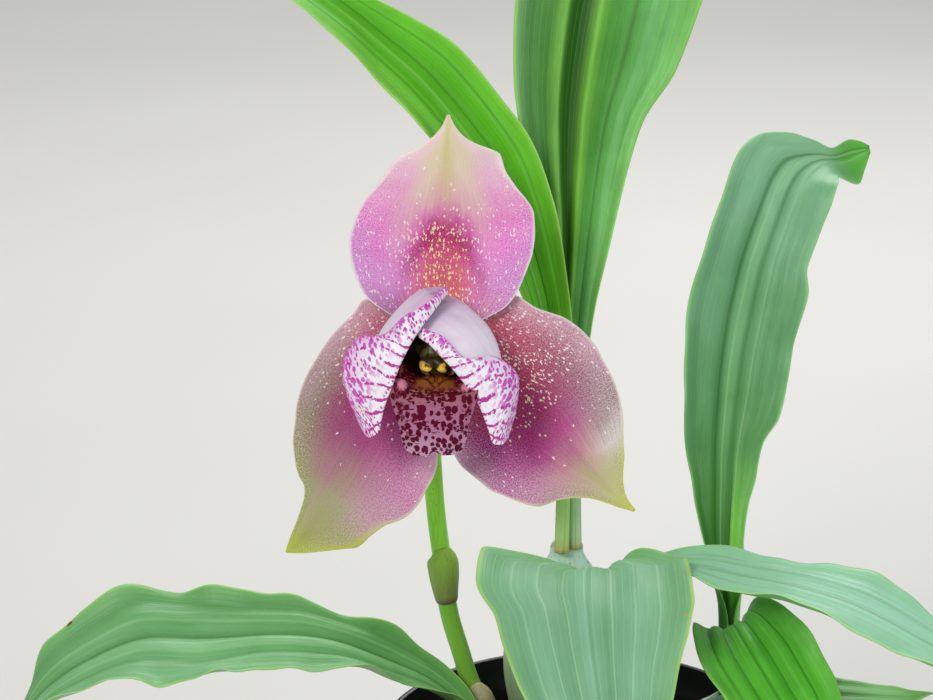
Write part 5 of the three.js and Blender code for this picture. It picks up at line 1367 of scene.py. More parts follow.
sepals = {
    "dorsal_sepal": {
        "spine": [
            (0.6, 3.6, -2), (0.9, 14, -4.5), (1, 26, -5.5), (1.1, 35, -5), (1.2, 41, -2.8), (1.7, 52, 1.5),
            (2.1, 61, 4.2), (2.5, 68.7, 5.8),
        ],
        "minus": [
            (0, 4), (0.04, 9), (0.08, 17), (0.13, 22), (0.2, 25.2), (0.29, 27.4), (0.36, 28.3), (0.42, 28.4),
            (0.5, 27.4), (0.6, 23.6), (0.66, 20.2), (0.76, 16.4), (0.8, 14.4), (0.83, 10.8), (0.875, 6.1),
            (0.91, 3.6), (0.955, 1.5), (1, 0.4),
        ],
        "plus": [
            (0, 4), (0.04, 7.5), (0.08, 14), (0.13, 19.5), (0.2, 23), (0.3, 25.6), (0.38, 27), (0.46, 27.4),
            (0.58, 26.5), (0.64, 24), (0.7, 20.4), (0.76, 17.6), (0.83, 15.8), (0.85, 13.4), (0.88, 8),
            (0.915, 4.3), (0.955, 2), (1, 0.4),
        ],
        "cup": [(0, 0.7), (0.1, 0.62), (0.3, 0.5), (0.5, 0.3), (0.62, 0.02), (0.8, -0.25), (1, 0)],
        "waves": [(0.8, 3, 0.5, 0.9), (0.25, 10.3, 1.5, 0.7)],
        "look": {
            # centre: the dark magenta band round 0.455 is painted shade under the crease
            "centre": [
                (0.0, "#dc8a3c"), (0.08, "#d0604c"), (0.2, "#d05c60"), (0.35, "#d05878"), (0.41, "#c03468"),
                (0.455, "#9c1050"), (0.5, "#b43078"), (0.56, "#d070a8"), (0.64, "#dcb0b4"), (0.8, "#dccfae"),
                (1.0, "#d2cc94"),
            ],
            "minusEdge": [
                (0.0, "#b4505e"), (0.1, "#c47cc0"), (0.25, "#dc94d6"), (0.4, "#e480d0"), (0.52, "#e684cc"),
                (0.64, "#e8a0ce"), (0.78, "#e8c6d2"), (0.9, "#e8d6cc"), (1.0, "#e0dabc"),
            ],
            "plusEdge": [
                (0.0, "#bc5450"), (0.1, "#c878b4"), (0.25, "#d88cd2"), (0.4, "#e478cc"), (0.52, "#e680c8"),
                (0.64, "#e89ccc"), (0.78, "#e8c2d0"), (0.9, "#e8d6cc"), (1.0, "#e0dabc"),
            ],
            "veinTone": [
                (0.0, "#b03048"), (0.4, "#a82860"), (0.55, "#a83080"), (0.7, "#d090b4"), (1.0, "#b4b464"),
            ],
            "midline": [
                (0.0, "#e8b048"), (0.1, "#cc5c4a"), (0.36, "#c0466c"), (0.48, "#b83072"), (0.58, "#d890a8"),
                (0.68, "#ccbc84"), (0.85, "#bcc062"), (1.0, "#c6c67c"),
            ],
            "fleckTone": [(0.0, "#f0d670"), (0.5, "#f0e6b4"), (0.8, "#f2e4e0")],
            "back": [
                (0.0, "#a9b468"), (0.3, "#cba4a8"), (0.6, "#d0b0b4"), (0.85, "#c6c48c"), (1.0, "#b3ba58"),
            ],
            "middle": 0.5, "heart": 0.36, "strands": 0.12, "golden": 0.9, "arch": 0.95, "lined": 0.1,
            "fleckMiddle": 0.47, "fleckSpread": 0.46, "fleckEnd": 0.5, "flecks": 0.5, "core": 0.6,
            "stray": 0.16, "dash": (11.0, 6.0), "stipple": (0.14, 0.5), "net": "#e6d8d0", "lilac": "#d498dc",
            "rim": [(0.0, "#eadce4"), (0.8, "#ece0dc"), (1.0, "#d8d49c")],
        },
    },
    "lateral_sepal_left": {
        "spine": [
            (-3.2, -0.6, -3.4), (-16.5, -11.2, -4.6), (-27.6, -25.3, -3.8), (-37.3, -43.2, -1.5),
            (-45, -59.4, 1),
        ],
        "across": [(0, -0.6, 0.8, 0), (0.5, -0.8, 0.6, 0), (1, -0.9, 0.4, 0)],
        "plus": [
            (0, 4), (0.02, 14), (0.05, 22), (0.09, 24), (0.145, 22.6), (0.226, 22), (0.323, 20.7),
            (0.404, 19.4), (0.476, 17.5), (0.526, 15.4), (0.594, 13), (0.654, 10), (0.704, 6.9), (0.734, 3.8),
            (0.782, 2.2), (0.85, 1.4), (0.95, 0.9), (1, 0.4),
        ],
        "minus": [
            (0, 3.4), (0.08, 8.4), (0.15, 14), (0.22, 20), (0.301, 25.4), (0.366, 27.5), (0.43, 28.4),
            (0.556, 28.7), (0.624, 28), (0.674, 26.4), (0.73, 22.6), (0.79, 20.4), (0.857, 18.4), (0.9, 13.8),
            (0.94, 9), (0.975, 4.6), (1, 0.4),
        ],
        "cup": [(0, 0.1), (0.2, 0.05), (0.45, 0.2), (0.7, 0.05), (1, 0)],
        "waves": [(1.2, 2, 1.5, 0.9), (0.25, 7.3, 2.5, 0.7)],
        "look": {
            # centre: the deep magenta towards the base is partly painted shade under the petals
            "centre": [
                (0.0, "#b44c60"), (0.12, "#ac3464"), (0.3, "#9c2468"), (0.45, "#a03c78"), (0.6, "#a4787c"),
                (0.74, "#9c9c70"), (0.92, "#949c50"), (1.0, "#a4b42c"),
            ],
            "minusEdge": [
                (0.0, "#a43070"), (0.3, "#b45098"), (0.55, "#c474a8"), (0.72, "#c098a8"), (0.86, "#a8a878"),
                (1.0, "#b0bc3c"),
            ],
            "plusEdge": [
                (0.0, "#bc6480"), (0.15, "#c07088"), (0.28, "#a88880"), (0.42, "#9c947c"), (0.6, "#949c6c"),
                (0.8, "#909c54"), (1.0, "#b0bc3c"),
            ],
            "veinTone": [(0.0, "#8e205c"), (0.5, "#8c2474"), (0.75, "#8c8450"), (1.0, "#94983a")],
            "midline": [
                (0.0, "#b8566a"), (0.3, "#942870"), (0.6, "#a87084"), (0.8, "#aca080"), (1.0, "#b0bc3c"),
            ],
            "fleckTone": [(0.0, "#ecdcb4"), (0.5, "#ece2d4"), (1.0, "#ece8d8")],
            "back": [(0.0, "#a9b468"), (0.3, "#c4a4a0"), (0.6, "#bcaa90"), (1.0, "#aeb858")],
            "middle": 0.5, "heart": 0.46, "strands": 0.1, "golden": 0.0, "arch": 0.0, "lined": 0.1,
            "fleckMiddle": 0.8, "fleckSpread": 0.4, "fleckEnd": 0.35, "flecks": 0.4, "core": 0.0,
            "stray": 0.05, "dash": (11.0, 7.5), "stipple": (0.08, 0.44), "net": "#dcd4c4", "lilac": "#d8b8c4",
            "rim": [(0.0, "#e0d0d4"), (0.66, "#d4cca8"), (0.84, "#b0bc3c"), (1.0, "#b0c02c")],
        },
    },
    "lateral_sepal_right": {
        "spine": [
            (3.4, -0.8, -3.4), (15.3, -9.4, -4.6), (30, -21.8, -3.8), (45.3, -37.6, -1.5), (57.2, -47.2, 1),
        ],
        "across": [(0, -0.6, -0.8, 0), (0.5, -0.7, -0.7, 0), (1, -0.6, -0.8, 0)],
        "minus": [
            (0, 4), (0.02, 13), (0.05, 21.5), (0.09, 25), (0.158, 25.2), (0.216, 26.7), (0.276, 28.2),
            (0.343, 28.7), (0.424, 28), (0.484, 26.1), (0.549, 24.3), (0.619, 21.7), (0.684, 18.7),
            (0.764, 14), (0.82, 10.8), (0.862, 7.1), (0.905, 3.6), (0.952, 1.3), (1, 0.4),
        ],
        "plus": [
            (0, 3.4), (0.08, 8), (0.15, 13.6), (0.22, 20), (0.278, 24), (0.348, 25.2), (0.406, 25.1),
            (0.514, 24.7), (0.591, 22.7), (0.664, 20.2), (0.714, 17.3), (0.744, 12.4), (0.782, 8.4),
            (0.83, 5.2), (0.885, 3.4), (0.945, 2), (1, 0.4),
        ],
        "cup": [(0, 0.1), (0.2, 0.05), (0.45, 0.2), (0.7, 0.05), (1, 0)],
        "waves": [(1.2, 2, 0.3, 0.9), (0.25, 7.3, 1.3, 0.7)],
        "look": {
            # centre: the deep magenta towards the base is partly painted shade under the petals
            "centre": [
                (0.0, "#cc6a50"), (0.1, "#b03450"), (0.25, "#981c44"), (0.42, "#9c1c60"), (0.56, "#b03c84"),
                (0.7, "#bc9090"), (0.86, "#b4b880"), (1.0, "#bac440"),
            ],
            "plusEdge": [
                (0.0, "#942068"), (0.28, "#a43484"), (0.5, "#b45498"), (0.68, "#c08ca8"), (0.84, "#acac74"),
                (1.0, "#bac440"),
            ],
            "minusEdge": [
                (0.0, "#bc5068"), (0.18, "#bc5c74"), (0.34, "#a06470"), (0.5, "#987880"), (0.62, "#a49894"),
                (0.72, "#d8d6ce"), (0.82, "#b4bc78"), (1.0, "#bac440"),
            ],
            "veinTone": [(0.0, "#901c40"), (0.5, "#861a5c"), (0.75, "#907a60"), (1.0, "#94983a")],
            "midline": [
                (0.0, "#c46250"), (0.3, "#901c4c"), (0.6, "#a04c7c"), (0.8, "#aca868"), (1.0, "#bac440"),
            ],
            "fleckTone": [(0.0, "#f0dc98"), (0.5, "#ece0c4"), (1.0, "#ece6d4")],
            "back": [(0.0, "#a9b468"), (0.3, "#c4a4a0"), (0.6, "#bcaa90"), (1.0, "#aeb858")],
            "middle": 0.52, "heart": 0.44, "strands": 0.1, "golden": 0.12, "arch": 0.0, "lined": 0.14,
            "fleckMiddle": 0.36, "fleckSpread": 0.45, "fleckEnd": 0.42, "flecks": 0.55, "core": 0.1,
            "stray": 0.08, "dash": (11.0, 7.5), "stipple": (0.08, 0.44), "net": "#e6d8d0", "lilac": "#dcbcc8",
            "rim": [(0.0, "#e4d8d8"), (0.66, "#dcd4bc"), (0.84, "#b8c440"), (1.0, "#b8c82c")],
        },
    },
}


def petalTone(name, roughness=0.45, gloss=0.25):
    plain = {
        "Specular IOR Level": gloss, "Subsurface Weight": 0.1, "Subsurface Scale": 0.001,
        "Subsurface Radius": (1.0, 0.5, 0.7), "Roughness": roughness, "Sheen Weight": 0.16 * gloss,
        "Sheen Roughness": 0.5,
    }
    return newMaterial(name, plain)


def fleshRelief(board, real, extra, shader):  # the fine beaded skin of the petals and sepals
    beads = board.noise(real, 34.0, 2.0, 0.6)
    streak = board.group(fibres, {"Vector": real, "Fineness": 9.0, "Contrast": 1.0})
    relief = board.timesPlus(beads, 0.6, board.times(streak, 0.7))
    if extra:
        relief = board.plus(relief, board.times(extra, 0.5))
    board.feed(shader["Normal"], board.bump(relief, 0.35, 0.0003))


def sepalSkin(name, look):
    material, board, shader = petalTone(name)
    share, real = board.map("share"), board.map("real")
    across, along = board.parts(share)[:2]
    stir = board.drift(real, 0.9, 3.0, 0.6)
    bent = board.timesPlus(stir, 0.22, across)
    strands = board.drift(board.stretch(share, 34.0, 2.0, 1.0), 1.0, 3.0, 0.65)
    level = board.timesPlus(stir, 0.14, along)
    level = board.timesPlus(strands, look["strands"], level)
    side = board.timesPlus(across, 2.0, -1.0)
    # arch curves the levels so the band of painted shade under the dorsal crease runs as an arch, highest in
    # the middle
    arched = board.timesPlus(board.times(side, side), look["arch"], level)
    colour = board.ramp(arched, look["centre"])
    towardsMinus = board.span(bent, look["middle"] - 0.05, look["middle"] - look["heart"])
    towardsPlus = board.span(bent, look["middle"] + 0.05, look["middle"] + look["heart"])
    colour = board.mix(towardsMinus, colour, board.ramp(level, look["minusEdge"]))
    colour = board.mix(towardsPlus, colour, board.ramp(level, look["plusEdge"]))
    reach = board.positive(side)
    margin = board.times(board.span(reach, 0.6, 1.0), board.span(level, 0.62, 0.4))
    colour = board.mix(board.times(margin, 0.6), colour, look["lilac"])
    spine = board.hump(across, 0.5, 0.11)
    colour = board.mix(board.times(spine, 0.6), colour, board.ramp(level, look["midline"]))
    golden = board.times(board.span(along, 0.24, 0.08), board.span(strands, 0.03, 0.14))
    colour = board.mix(board.times(golden, look["golden"]), colour, "#f2c44c")
    vein = board.group(lines, {
        "Vector": board.stretch(real, 1.0, 0.4, 1.0), "Across": across, "Count": 34.0, "Width": 0.34,
        "Bend": 1.6,
    })
    colour = board.mix(board.times(vein, look["lined"]), colour, board.ramp(level, look["veinTone"]))
    net = board.group(stipple, {"Vector": real, "Scale": 24.0, "Contrast": 0.1})
    grain = board.span(reach, 0.15, 1.0, look["stipple"][0], look["stipple"][1])
    colour = board.mix(grain, colour, (0.16, 0.24, 0.16, 1.0), "SUBTRACT")
    colour = board.mix(board.times(net, grain), colour, look["net"])
    dashMap = board.stretch(real, look["dash"][0], look["dash"][1], 1.0)
    window = board.span(along, look["fleckEnd"] + 0.06, look["fleckEnd"] - 0.04)
    heart = board.hump(across, look["fleckMiddle"], look["fleckSpread"])
    amount = board.timesPlus(board.times(heart, window), look["flecks"], look["stray"])
    amount = board.times(amount, board.span(along, look["fleckEnd"] + 0.36, look["fleckEnd"]))
    core = board.times(board.hump(across, look["fleckMiddle"], 0.12), window)
    amount = board.timesPlus(core, look["core"], amount)
    dash = board.group(flatSpots, {
        "Vector": dashMap, "Share": amount, "Size": 0.2, "Softness": 0.08, "Wobble": 1.3,
    })
    pale = board.mix(board.span(reach, 0.1, 0.5), board.ramp(along, look["fleckTone"]), "#f0e4e4")
    colour = board.mix(board.times(dash, 0.9), colour, pale)
    rimStart = board.span(along, 0.6, 0.95, 0.965, 0.7)
    rim = board.times(board.span(reach, rimStart, 0.998), 0.8)
    colour = board.mix(rim, colour, board.ramp(along, look["rim"]))
    board.feed(shader["Base Color"], colour)
    fleshRelief(board, real, dash, shader)
    return material


def backSkin(name, stops):
    material, board, shader = petalTone(name, 0.5)
    share, real = board.map("share"), board.map("real")
    across, along = board.parts(share)[:2]
    stir = board.drift(real, 0.9, 3.0, 0.6)
    colour = board.ramp(board.timesPlus(stir, 0.2, along), stops)
    vein = board.group(lines, {"Vector": real, "Across": across, "Count": 13.0, "Width": 0.2, "Bend": 0.3})
    colour = board.mix(board.times(vein, 0.35), colour, "#8c9a5c")
    net = board.group(stipple, {"Vector": real, "Scale": 26.0, "Contrast": 0.14})
    board.feed(shader["Base Color"], board.mix(board.times(net, 0.3), colour, "#e9dcc8"))
    fleshRelief(board, real, vein, shader)
    return material


def makeSepals():
    for node, sepal in sepals.items():
        name = camelName(node)
        materials = [sepalSkin(name + "Face", sepal["look"]), backSkin(name + "Back", sepal["look"]["back"])]
        piece = bladePiece(name, {**sepal, "thickness": 0.9, "cells": (130, 104)}, materials, inFlower)
        seat(piece, "sepal", node)


makeSepals()
print("sepals made")


petals = {
    "petal_right": [
        [
            (0.8, 8.6, 2.2), (1.9, 7.4, 1.8), (2.9, 5.8, 1.4), (3.6, 3.8, 1.1),
            (3.9, 1.6, 1), (3.9, -0.8, 1), (3.7, -3, 1.2), (3.4, -5, 1.8),
        ],
        [
            (0.5, 16.2, 5), (6, 14, 6), (10.5, 10.2, 8), (13.8, 6.6, 10),
            (16, 2, 11.5), (17, -3, 13), (17, -8.5, 13.5), (16.4, -13.5, 13.5),
        ],
        [
            (-3, 14.8, 9.5), (-1, 11.2, 15), (4, 8, 18), (9, 3.6, 19.5),
            (12.6, -1.8, 19.8), (15.3, -7.4, 19.8), (16.2, -13.4, 19.8), (16.6, -19.5, 18.6),
        ],
        [
            (-5, 11.6, 13), (-6.2, 5.4, 20.6), (-2.4, 2, 23.5), (1.8, -2.4, 24.5),
            (6.4, -8, 24.5), (11, -14.4, 24), (13.6, -20.5, 23), (15.4, -26, 21.5),
        ],
        [
            (-4.8, 12.2, 13.9), (-5.8, 6.2, 21.8), (-0.8, 3.2, 25), (4.8, -2, 26),
            (11.4, -4.6, 24.6), (17.4, -10.2, 22.8), (18.4, -18.4, 22), (17.7, -27, 21),
        ],
        [
            (-4.4, 12.8, 14.4), (-5, 6.8, 22.4), (1, 3.8, 24.6), (7.8, -2.6, 24.4),
            (15.5, -1.8, 20.5), (22.3, -7, 17), (22.1, -16.5, 17), (19.7, -25.4, 18.5),
        ],
    ],
    "petal_left": [
        [
            (-0.5, 8.6, 2.4), (-1.6, 7.6, 2), (-2.6, 6, 1.6), (-3.3, 4, 1.2),
            (-3.7, 1.6, 1), (-3.8, -0.8, 1), (-3.6, -3, 1.2), (-3.4, -5, 1.8),
        ],
        [
            (0.6, 17.4, 8.4), (-5, 17, 8.4), (-9.5, 13.8, 9), (-13.3, 9.6, 10.5),
            (-16.4, 5, 12), (-18, -0.5, 13.2), (-18.4, -7, 13.8), (-18, -13, 14),
        ],
        [
            (1.6, 17.3, 12), (-3.8, 14.6, 16), (-8.2, 10, 18.4), (-12, 5.4, 19.4),
            (-15.2, 0.4, 19.8), (-17.2, -5.4, 20), (-18.4, -11.6, 19.8), (-19, -17.6, 18.8),
        ],
        [
            (2.2, 16.8, 15), (-2.4, 10.6, 21.4), (-6.3, 5.2, 24.8), (-9.1, 0.4, 25.8),
            (-11.7, -5, 25.8), (-13.9, -10.8, 25.2), (-16, -16.4, 24.2), (-17.4, -22.8, 22),
        ],
        [
            (2, 17.4, 15.8), (-3.4, 11.8, 22.6), (-8.4, 7.4, 25.6), (-12.6, 2.4, 25.6),
            (-17.6, -0.8, 24.4), (-21, -7.6, 22.8), (-21.4, -15.2, 22), (-20, -25, 21),
        ],
        [
            (1.5, 18, 15.9), (-4.4, 12.8, 22.6), (-10.2, 9.4, 24), (-15.8, 4.4, 22.4),
            (-23.4, 3.4, 18.4), (-27.8, -4.5, 16.5), (-26.4, -13, 17), (-22.4, -22.4, 18.6),
        ],
    ],
}

petalLook = {
    "cells": (130, 90),
    "fold": 0.6,
    # ground: the dark inner stops are painted shade inside the flower, over its dense crimson colour there
    "ground": [
        (0.0, "#32101a"), (0.36, "#4c1a2c"), (0.5, "#a27890"), (0.58, "#e8e2ea"), (0.78, "#ece8f0"),
        (1.0, "#e6d2ea"),
    ],
    "blush": "#cc70c0",
    "halo": "#cc50b8",
    "mark": "#b4108c",
    "bands": 13.0,
    "slope": 0.16,  # how far the bands run up towards the free edge
    "hood": [(0.0, "#a880b4"), (0.1, "#d8bcd8"), (0.4, "#e4d8e4"), (1.0, "#e8e0e8")],
}


def petalSkin(look):
    material, board, shader = petalTone("petalFace", 0.42)
    share, real = board.map("share"), board.map("real")
    out, along = board.parts(share)[:2]
    outer = board.span(out, look["fold"] + 0.05, 0.84)
    # The dark inner face is painted shade inside the flower, partly its own crimson colour.
    colour = board.ramp(out, look["ground"])
    cloud = board.noise(real, 3.0, 3.0, 0.6)
    blush = board.times(board.span(out, 0.82, 1.0), board.span(cloud, 0.4, 0.7))
    colour = board.mix(board.times(blush, 0.55), colour, look["blush"])
    level = board.timesPlus(out, -look["slope"], along)
    beading = board.drift(board.stretch(real, 13.0, 9.0, 1.0), 1.0, 2.0)
    level = board.timesPlus(beading, 0.02, level)
    band = board.group(lines, {"Vector": board.stretch(real, 1.0, 1.3, 1.0), "Across": level,
                               "Count": look["bands"], "Width": 0.2, "Bend": 0.9})
    gaps = board.noise(board.stretch(real, 9.0, 5.0, 1.0), 1.0, 2.0)
    cutOff = board.timesPlus(outer, 0.16, 0.34)
    gaps = board.span(gaps, cutOff, board.plus(cutOff, 0.06))
    edge = board.timesPlus(outer, 0.3, 0.2)
    band = board.times(board.span(band, edge, board.plus(edge, 0.25)), gaps)
    band = board.times(band, board.span(along, 0.33, 0.4))
    dots = board.group(flatSpots, {"Vector": board.stretch(real, 7.0, 8.5, 1.0), "Share": 0.75, "Size": 0.25,
                                   "Softness": 0.08, "Wobble": 0.5, "Scatter": 0.9})
    dotArea = board.larger(board.hump(out, look["fold"] + 0.02, 0.06), board.span(along, 0.42, 0.34))
    dotArea = board.larger(dotArea, board.span(along, 0.86, 0.93))
    dotArea = board.times(dotArea, board.span(along, 0.0, 0.08))
    soft = board.group(flatSpots, {"Vector": board.stretch(real, 4.8, 7.0, 1.0), "Share": 0.85, "Size": 0.36,
                                   "Softness": 0.12, "Wobble": 0.9})
    halo = board.times(soft, outer)
    colour = board.mix(halo, colour, look["halo"])
    colour = board.mix(board.span(out, 0.97, 0.995, 0.0, 0.6), colour, look["halo"])
    mark = board.larger(band, board.times(dots, dotArea))
    mark = board.times(mark, board.span(out, look["fold"] - 0.1, look["fold"] - 0.02))
    colour = board.mix(board.times(mark, 0.96), colour, look["mark"])
    board.feed(shader["Base Color"], colour)
    fleshRelief(board, real, None, shader)
    return material


def hoodSkin(look):
    material, board, shader = petalTone("petalBack", 0.42)
    share, real = board.map("share"), board.map("real")
    out, along = board.parts(share)[:2]
    cloud = board.noise(real, 1.3, 3.0, 0.5)
    colour = board.ramp(board.timesPlus(board.minus(cloud, 0.5), 0.5, along), look["hood"])
    vein = board.group(lines, {"Vector": real, "Across": out, "Count": 16.0, "Width": 0.3, "Bend": 0.7})
    colour = board.mix(board.times(vein, 0.05), colour, "#a78cb4")
    tip = board.times(board.span(along, 0.07, 0.0), board.span(out, 0.35, 0.55))
    board.feed(shader["Base Color"], board.mix(board.times(tip, 0.8), colour, "#8d4d9c"))
    fleshRelief(board, real, vein, shader)
    return material


def makePetals():
    materials = [petalSkin(petalLook), hoodSkin(petalLook)]
    rows, columns = petalLook["cells"]
    for node, rails in petals.items():
        down = np.linspace(0, 7, rows + 1)
        across = np.linspace(0, 5, columns + 1)
        lengthwise = np.stack([splineAt(rail, down) for rail in rails])
        grid = splineAt(lengthwise, across).transpose(1, 0, 2)
        share = np.stack(np.meshgrid(across / 5, down / 7), axis=-1)
        steps = [np.linalg.norm(np.diff(grid, axis=axis), axis=-1) for axis in (1, 0)]
        real = np.zeros((rows + 1, columns + 1, 2))
        real[:, 1:, 0] = np.cumsum(steps[0], axis=1) / 10
        real[1:, :, 1] = np.cumsum(steps[1], axis=0) / 10
        rippled = 0.25 * np.sin(share[..., 1] * 40 + 1) * np.clip((share[..., 0] - 0.8) / 0.2, 0, 1) ** 2
        grid = grid + rippled[..., None] * np.array([0, 0, 1])
        if node == "petal_right":
            grid, share, real = grid[:, ::-1], share[:, ::-1], real[:, ::-1]
        edge = 1 - 0.5 * np.clip((share[..., 0] - 0.85) / 0.15, 0, 1)
        piece = sheetPiece(camelName(node), inFlower(grid), 0.8 * edge, share, real, materials)
        seat(piece, "petal", node)


makePetals()
print("petals made")


lip = {
    "spine": [
        (0, -9.6, 3.6), (-0.3, -8.9, 9), (-0.8, -9.6, 15), (-1.3, -12, 21), (-1.5, -15, 24.6),
        (-1.6, -21, 25.6), (-1.4, -30.2, 23),
    ],
    "across": [(0, -1, 0, 0), (1, -1, 0, 0)],
    "minus": [
        (0, 3.2), (0.1, 5.5), (0.22, 10), (0.36, 12.6), (0.47, 13.4), (0.55, 12.6), (0.62, 11.6),
        (0.75, 10.4), (0.9, 9.4), (0.96, 8.4), (1, 6.4),
    ],
    "plus": [
        (0, 3.2), (0.1, 5.5), (0.22, 10), (0.36, 12.8), (0.47, 13.8), (0.55, 12.8), (0.62, 11.8),
        (0.75, 10.2), (0.9, 9.2), (0.96, 8.2), (1, 6.2),
    ],
    "cup": [(0, 0.6), (0.15, 1), (0.36, 1.1), (0.5, 0.5), (0.6, 0.05), (0.8, -0.3), (1, -0.35)],
    "waves": [(0.9, 6, 0, 0.9), (0.2, 19.3, 1, 0.7)],
    "thickness": 0.9,
    "cells": (130, 90),
    "look": {
        # ground: darkened throughout as painted shade from the hood, over the lip's pinkish beige
        "ground": [
            (0.0, "#6e3c22"), (0.4, "#8a4e3c"), (0.48, "#8c5048"), (0.6, "#9c6278"), (0.8, "#a8708e"),
            (1.0, "#c49ab4"),
        ],
        "throat": [
            (0.0, "#5a3014"), (0.25, "#7c4418"), (0.38, "#94541c"), (0.46, "#885030"), (0.6, "#b48878"),
        ],
        "back": [(0.0, "#c9a47a"), (0.5, "#ceb0c0"), (1.0, "#cca8be")],
        "mark": "#54001e", "streak": "#300408", "sideTip": "#d4849c",
    },
}


def lipSkin(look):
    material, board, shader = petalTone("lipFace", 0.42, 0.02)
    share, real = board.map("share"), board.map("real")
    across, along = board.parts(share)[:2]
    side = board.timesPlus(across, 2.0, -1.0)
    reach = board.positive(side)
    # The ground is darkened as painted shade from the hood above the lip.
    colour = board.ramp(along, look["ground"])
    throat = board.times(board.span(along, 0.62, 0.46), board.span(reach, 0.8, 0.3))
    colour = board.mix(throat, colour, board.ramp(along, look["throat"]))
    blots = board.group(flatSpots, {"Vector": board.stretch(real, 5.6, 4.3, 1.0), "Share": 0.97, "Size": 0.38,
                                    "Softness": 0.06, "Wobble": 0.45, "Scatter": 0.85})
    small = board.group(flatSpots, {"Vector": board.stretch(real, 7.2, 5.8, 1.0), "Share": 0.9, "Size": 0.35,
                                    "Softness": 0.06, "Wobble": 0.4, "Scatter": 0.85})
    margin = board.larger(board.span(reach, 0.6, 0.9), board.span(along, 0.9, 0.97))
    mark = board.times(blots, board.span(reach, 0.95, 0.85))
    mark = board.larger(mark, board.times(small, margin))
    dashes = board.noise(board.stretch(real, 5.0, 11.0, 1.0), 1.0, 2.0)
    merge = board.times(board.hump(along, 0.53, 0.09), board.span(reach, 1.0, 0.5))
    merged = board.span(board.timesPlus(merge, 0.13, dashes), 0.6, 0.62)
    mark = board.times(board.larger(mark, merged), board.span(along, 0.4, 0.5))
    walls = board.times(board.span(reach, 0.36, 0.5), board.span(along, 0.5, 0.44))
    walls = board.times(walls, board.span(board.noise(real, 9.0, 3.0), 0.4, 0.45))
    mark = board.larger(mark, walls)
    colour = board.mix(board.times(mark, 0.97), colour, look["mark"])
    sideways = board.positive(board.parts(real)[0])  # two dark loops inside a dark V on the callus
    beside = board.minus(sideways, 0.14)
    ahead = board.times(board.minus(along, 0.36), 3.0)
    loop = board.vector("LENGTH", board.joined(beside, ahead))
    loop = board.hump(loop, 0.1, 0.06)
    chevron = board.timesPlus(board.minus(along, 0.435), 4.5, sideways)
    chevron = board.times(board.hump(chevron, 0.0, 0.09), board.span(along, 0.28, 0.32))
    drawn = board.larger(loop, chevron)
    broken = board.span(board.noise(real, 12.0, 2.0), 0.36, 0.5, 0.35, 0.9)
    colour = board.mix(board.times(drawn, broken), colour, look["streak"])
    sideTips = board.times(board.hump(along, 0.49, 0.08), board.hump(reach, 0.74, 0.26))
    sideTips = board.span(board.timesPlus(board.noise(real, 18.0, 2.0), 0.9, sideTips), 0.75, 1.15)
    colour = board.mix(board.times(sideTips, 0.9), colour, look["sideTip"])
    board.feed(shader["Base Color"], colour)
    fleshRelief(board, real, mark, shader)
    return material


def lipRelief(place, side):
    plate = 2.2 * np.exp(-((place - 0.3) / 0.09) ** 2) * np.maximum(0, 1 - (side / 0.42) ** 2)
    keels = 0.5 * np.exp(-((place - 0.33) / 0.1) ** 2) * np.exp(-((np.abs(side) - 0.2) / 0.07) ** 2)
    sideTips = 1.6 * np.exp(-((place - 0.49) / 0.05) ** 2) * np.exp(-((np.abs(side) - 0.74) / 0.15) ** 2)
    return plate + keels + sideTips


def lipNotch(place, side):
    return -1.3 * np.clip((place - 0.85) / 0.15, 0, 1) * np.exp(-(side / 0.22) ** 2)


def makeLip():
    look = lip["look"]
    spec = {**lip, "slide": lipNotch, "relief": lipRelief}
    back = backSkin("lipBack", look["back"])
    seat(bladePiece("lipBlade", spec, [lipSkin(look), back], inFlower), "lip", "lip")


makeLip()
print("lip made")


# Column with its wings, the anther cap, and the ovary behind the flower
column = {
    "path": [
        (0, -9.4, 4.6), (0, -5, 1.4), (0.1, 0.5, 0.6), (0.2, 4, 4.6), (-0.3, 4.4, 10), (-1.2, 1.6, 15.2),
        (-1.8, -2.4, 18.2),
    ],
    "radii": [(0, 3.2, 1.6), (0.2, 4, 2.4), (0.4, 4.4, 3.6), (0.7, 4.3, 3.6), (0.9, 4.6, 3.4), (1, 3.6, 2.2)],
    "along": [(0.0, "#a8823c"), (0.3, "#7c6a28"), (0.6, "#4c4414"), (0.85, "#3a3410"), (1.0, "#5c5418")],
    "streak": "#2c0810",
    "rings": 96,
    "sides": 72,
}

antherCap = {
    "path": [(-5.2, -3, 19), (-3.4, -4.2, 20), (-1.4, -3.2, 20.2), (0.8, -4.4, 20.2), (2.6, -4, 19.2)],
    "across": [(0, 0, 1, 0), (1, 0, 1, 0)],
    "radii": [(0, 0.9), (0.2, 2.3, 1.7), (0.5, 1.5, 1.3), (0.8, 2.2, 1.7), (1, 0.9)],
    "colours": [(0.2, "#2c280a"), (0.36, "#6a3c12"), (0.5, "#c48c18"), (0.8, "#e8d44c")],
    "rings": 64,
    "sides": 48,
}

ovary = {
    "path": [(-2.6, -14.2, -23.4), (-2, -9, -20.8), (-1.2, -4, -15.5), (-0.5, 0, -9.5), (0, 1.6, -2.8)],
    "radii": [(0, 2.9), (0.15, 3.4), (0.5, 3.7), (0.8, 3.6), (0.93, 5), (1, 5)],
    "ridges": (6, 0.04),
    "rings": 60,
    "sides": 60,
    "along": [(0.0, "#8fb04e"), (0.5, "#9bb35a"), (0.85, "#b3a96a"), (1.0, "#c58f86")],
}


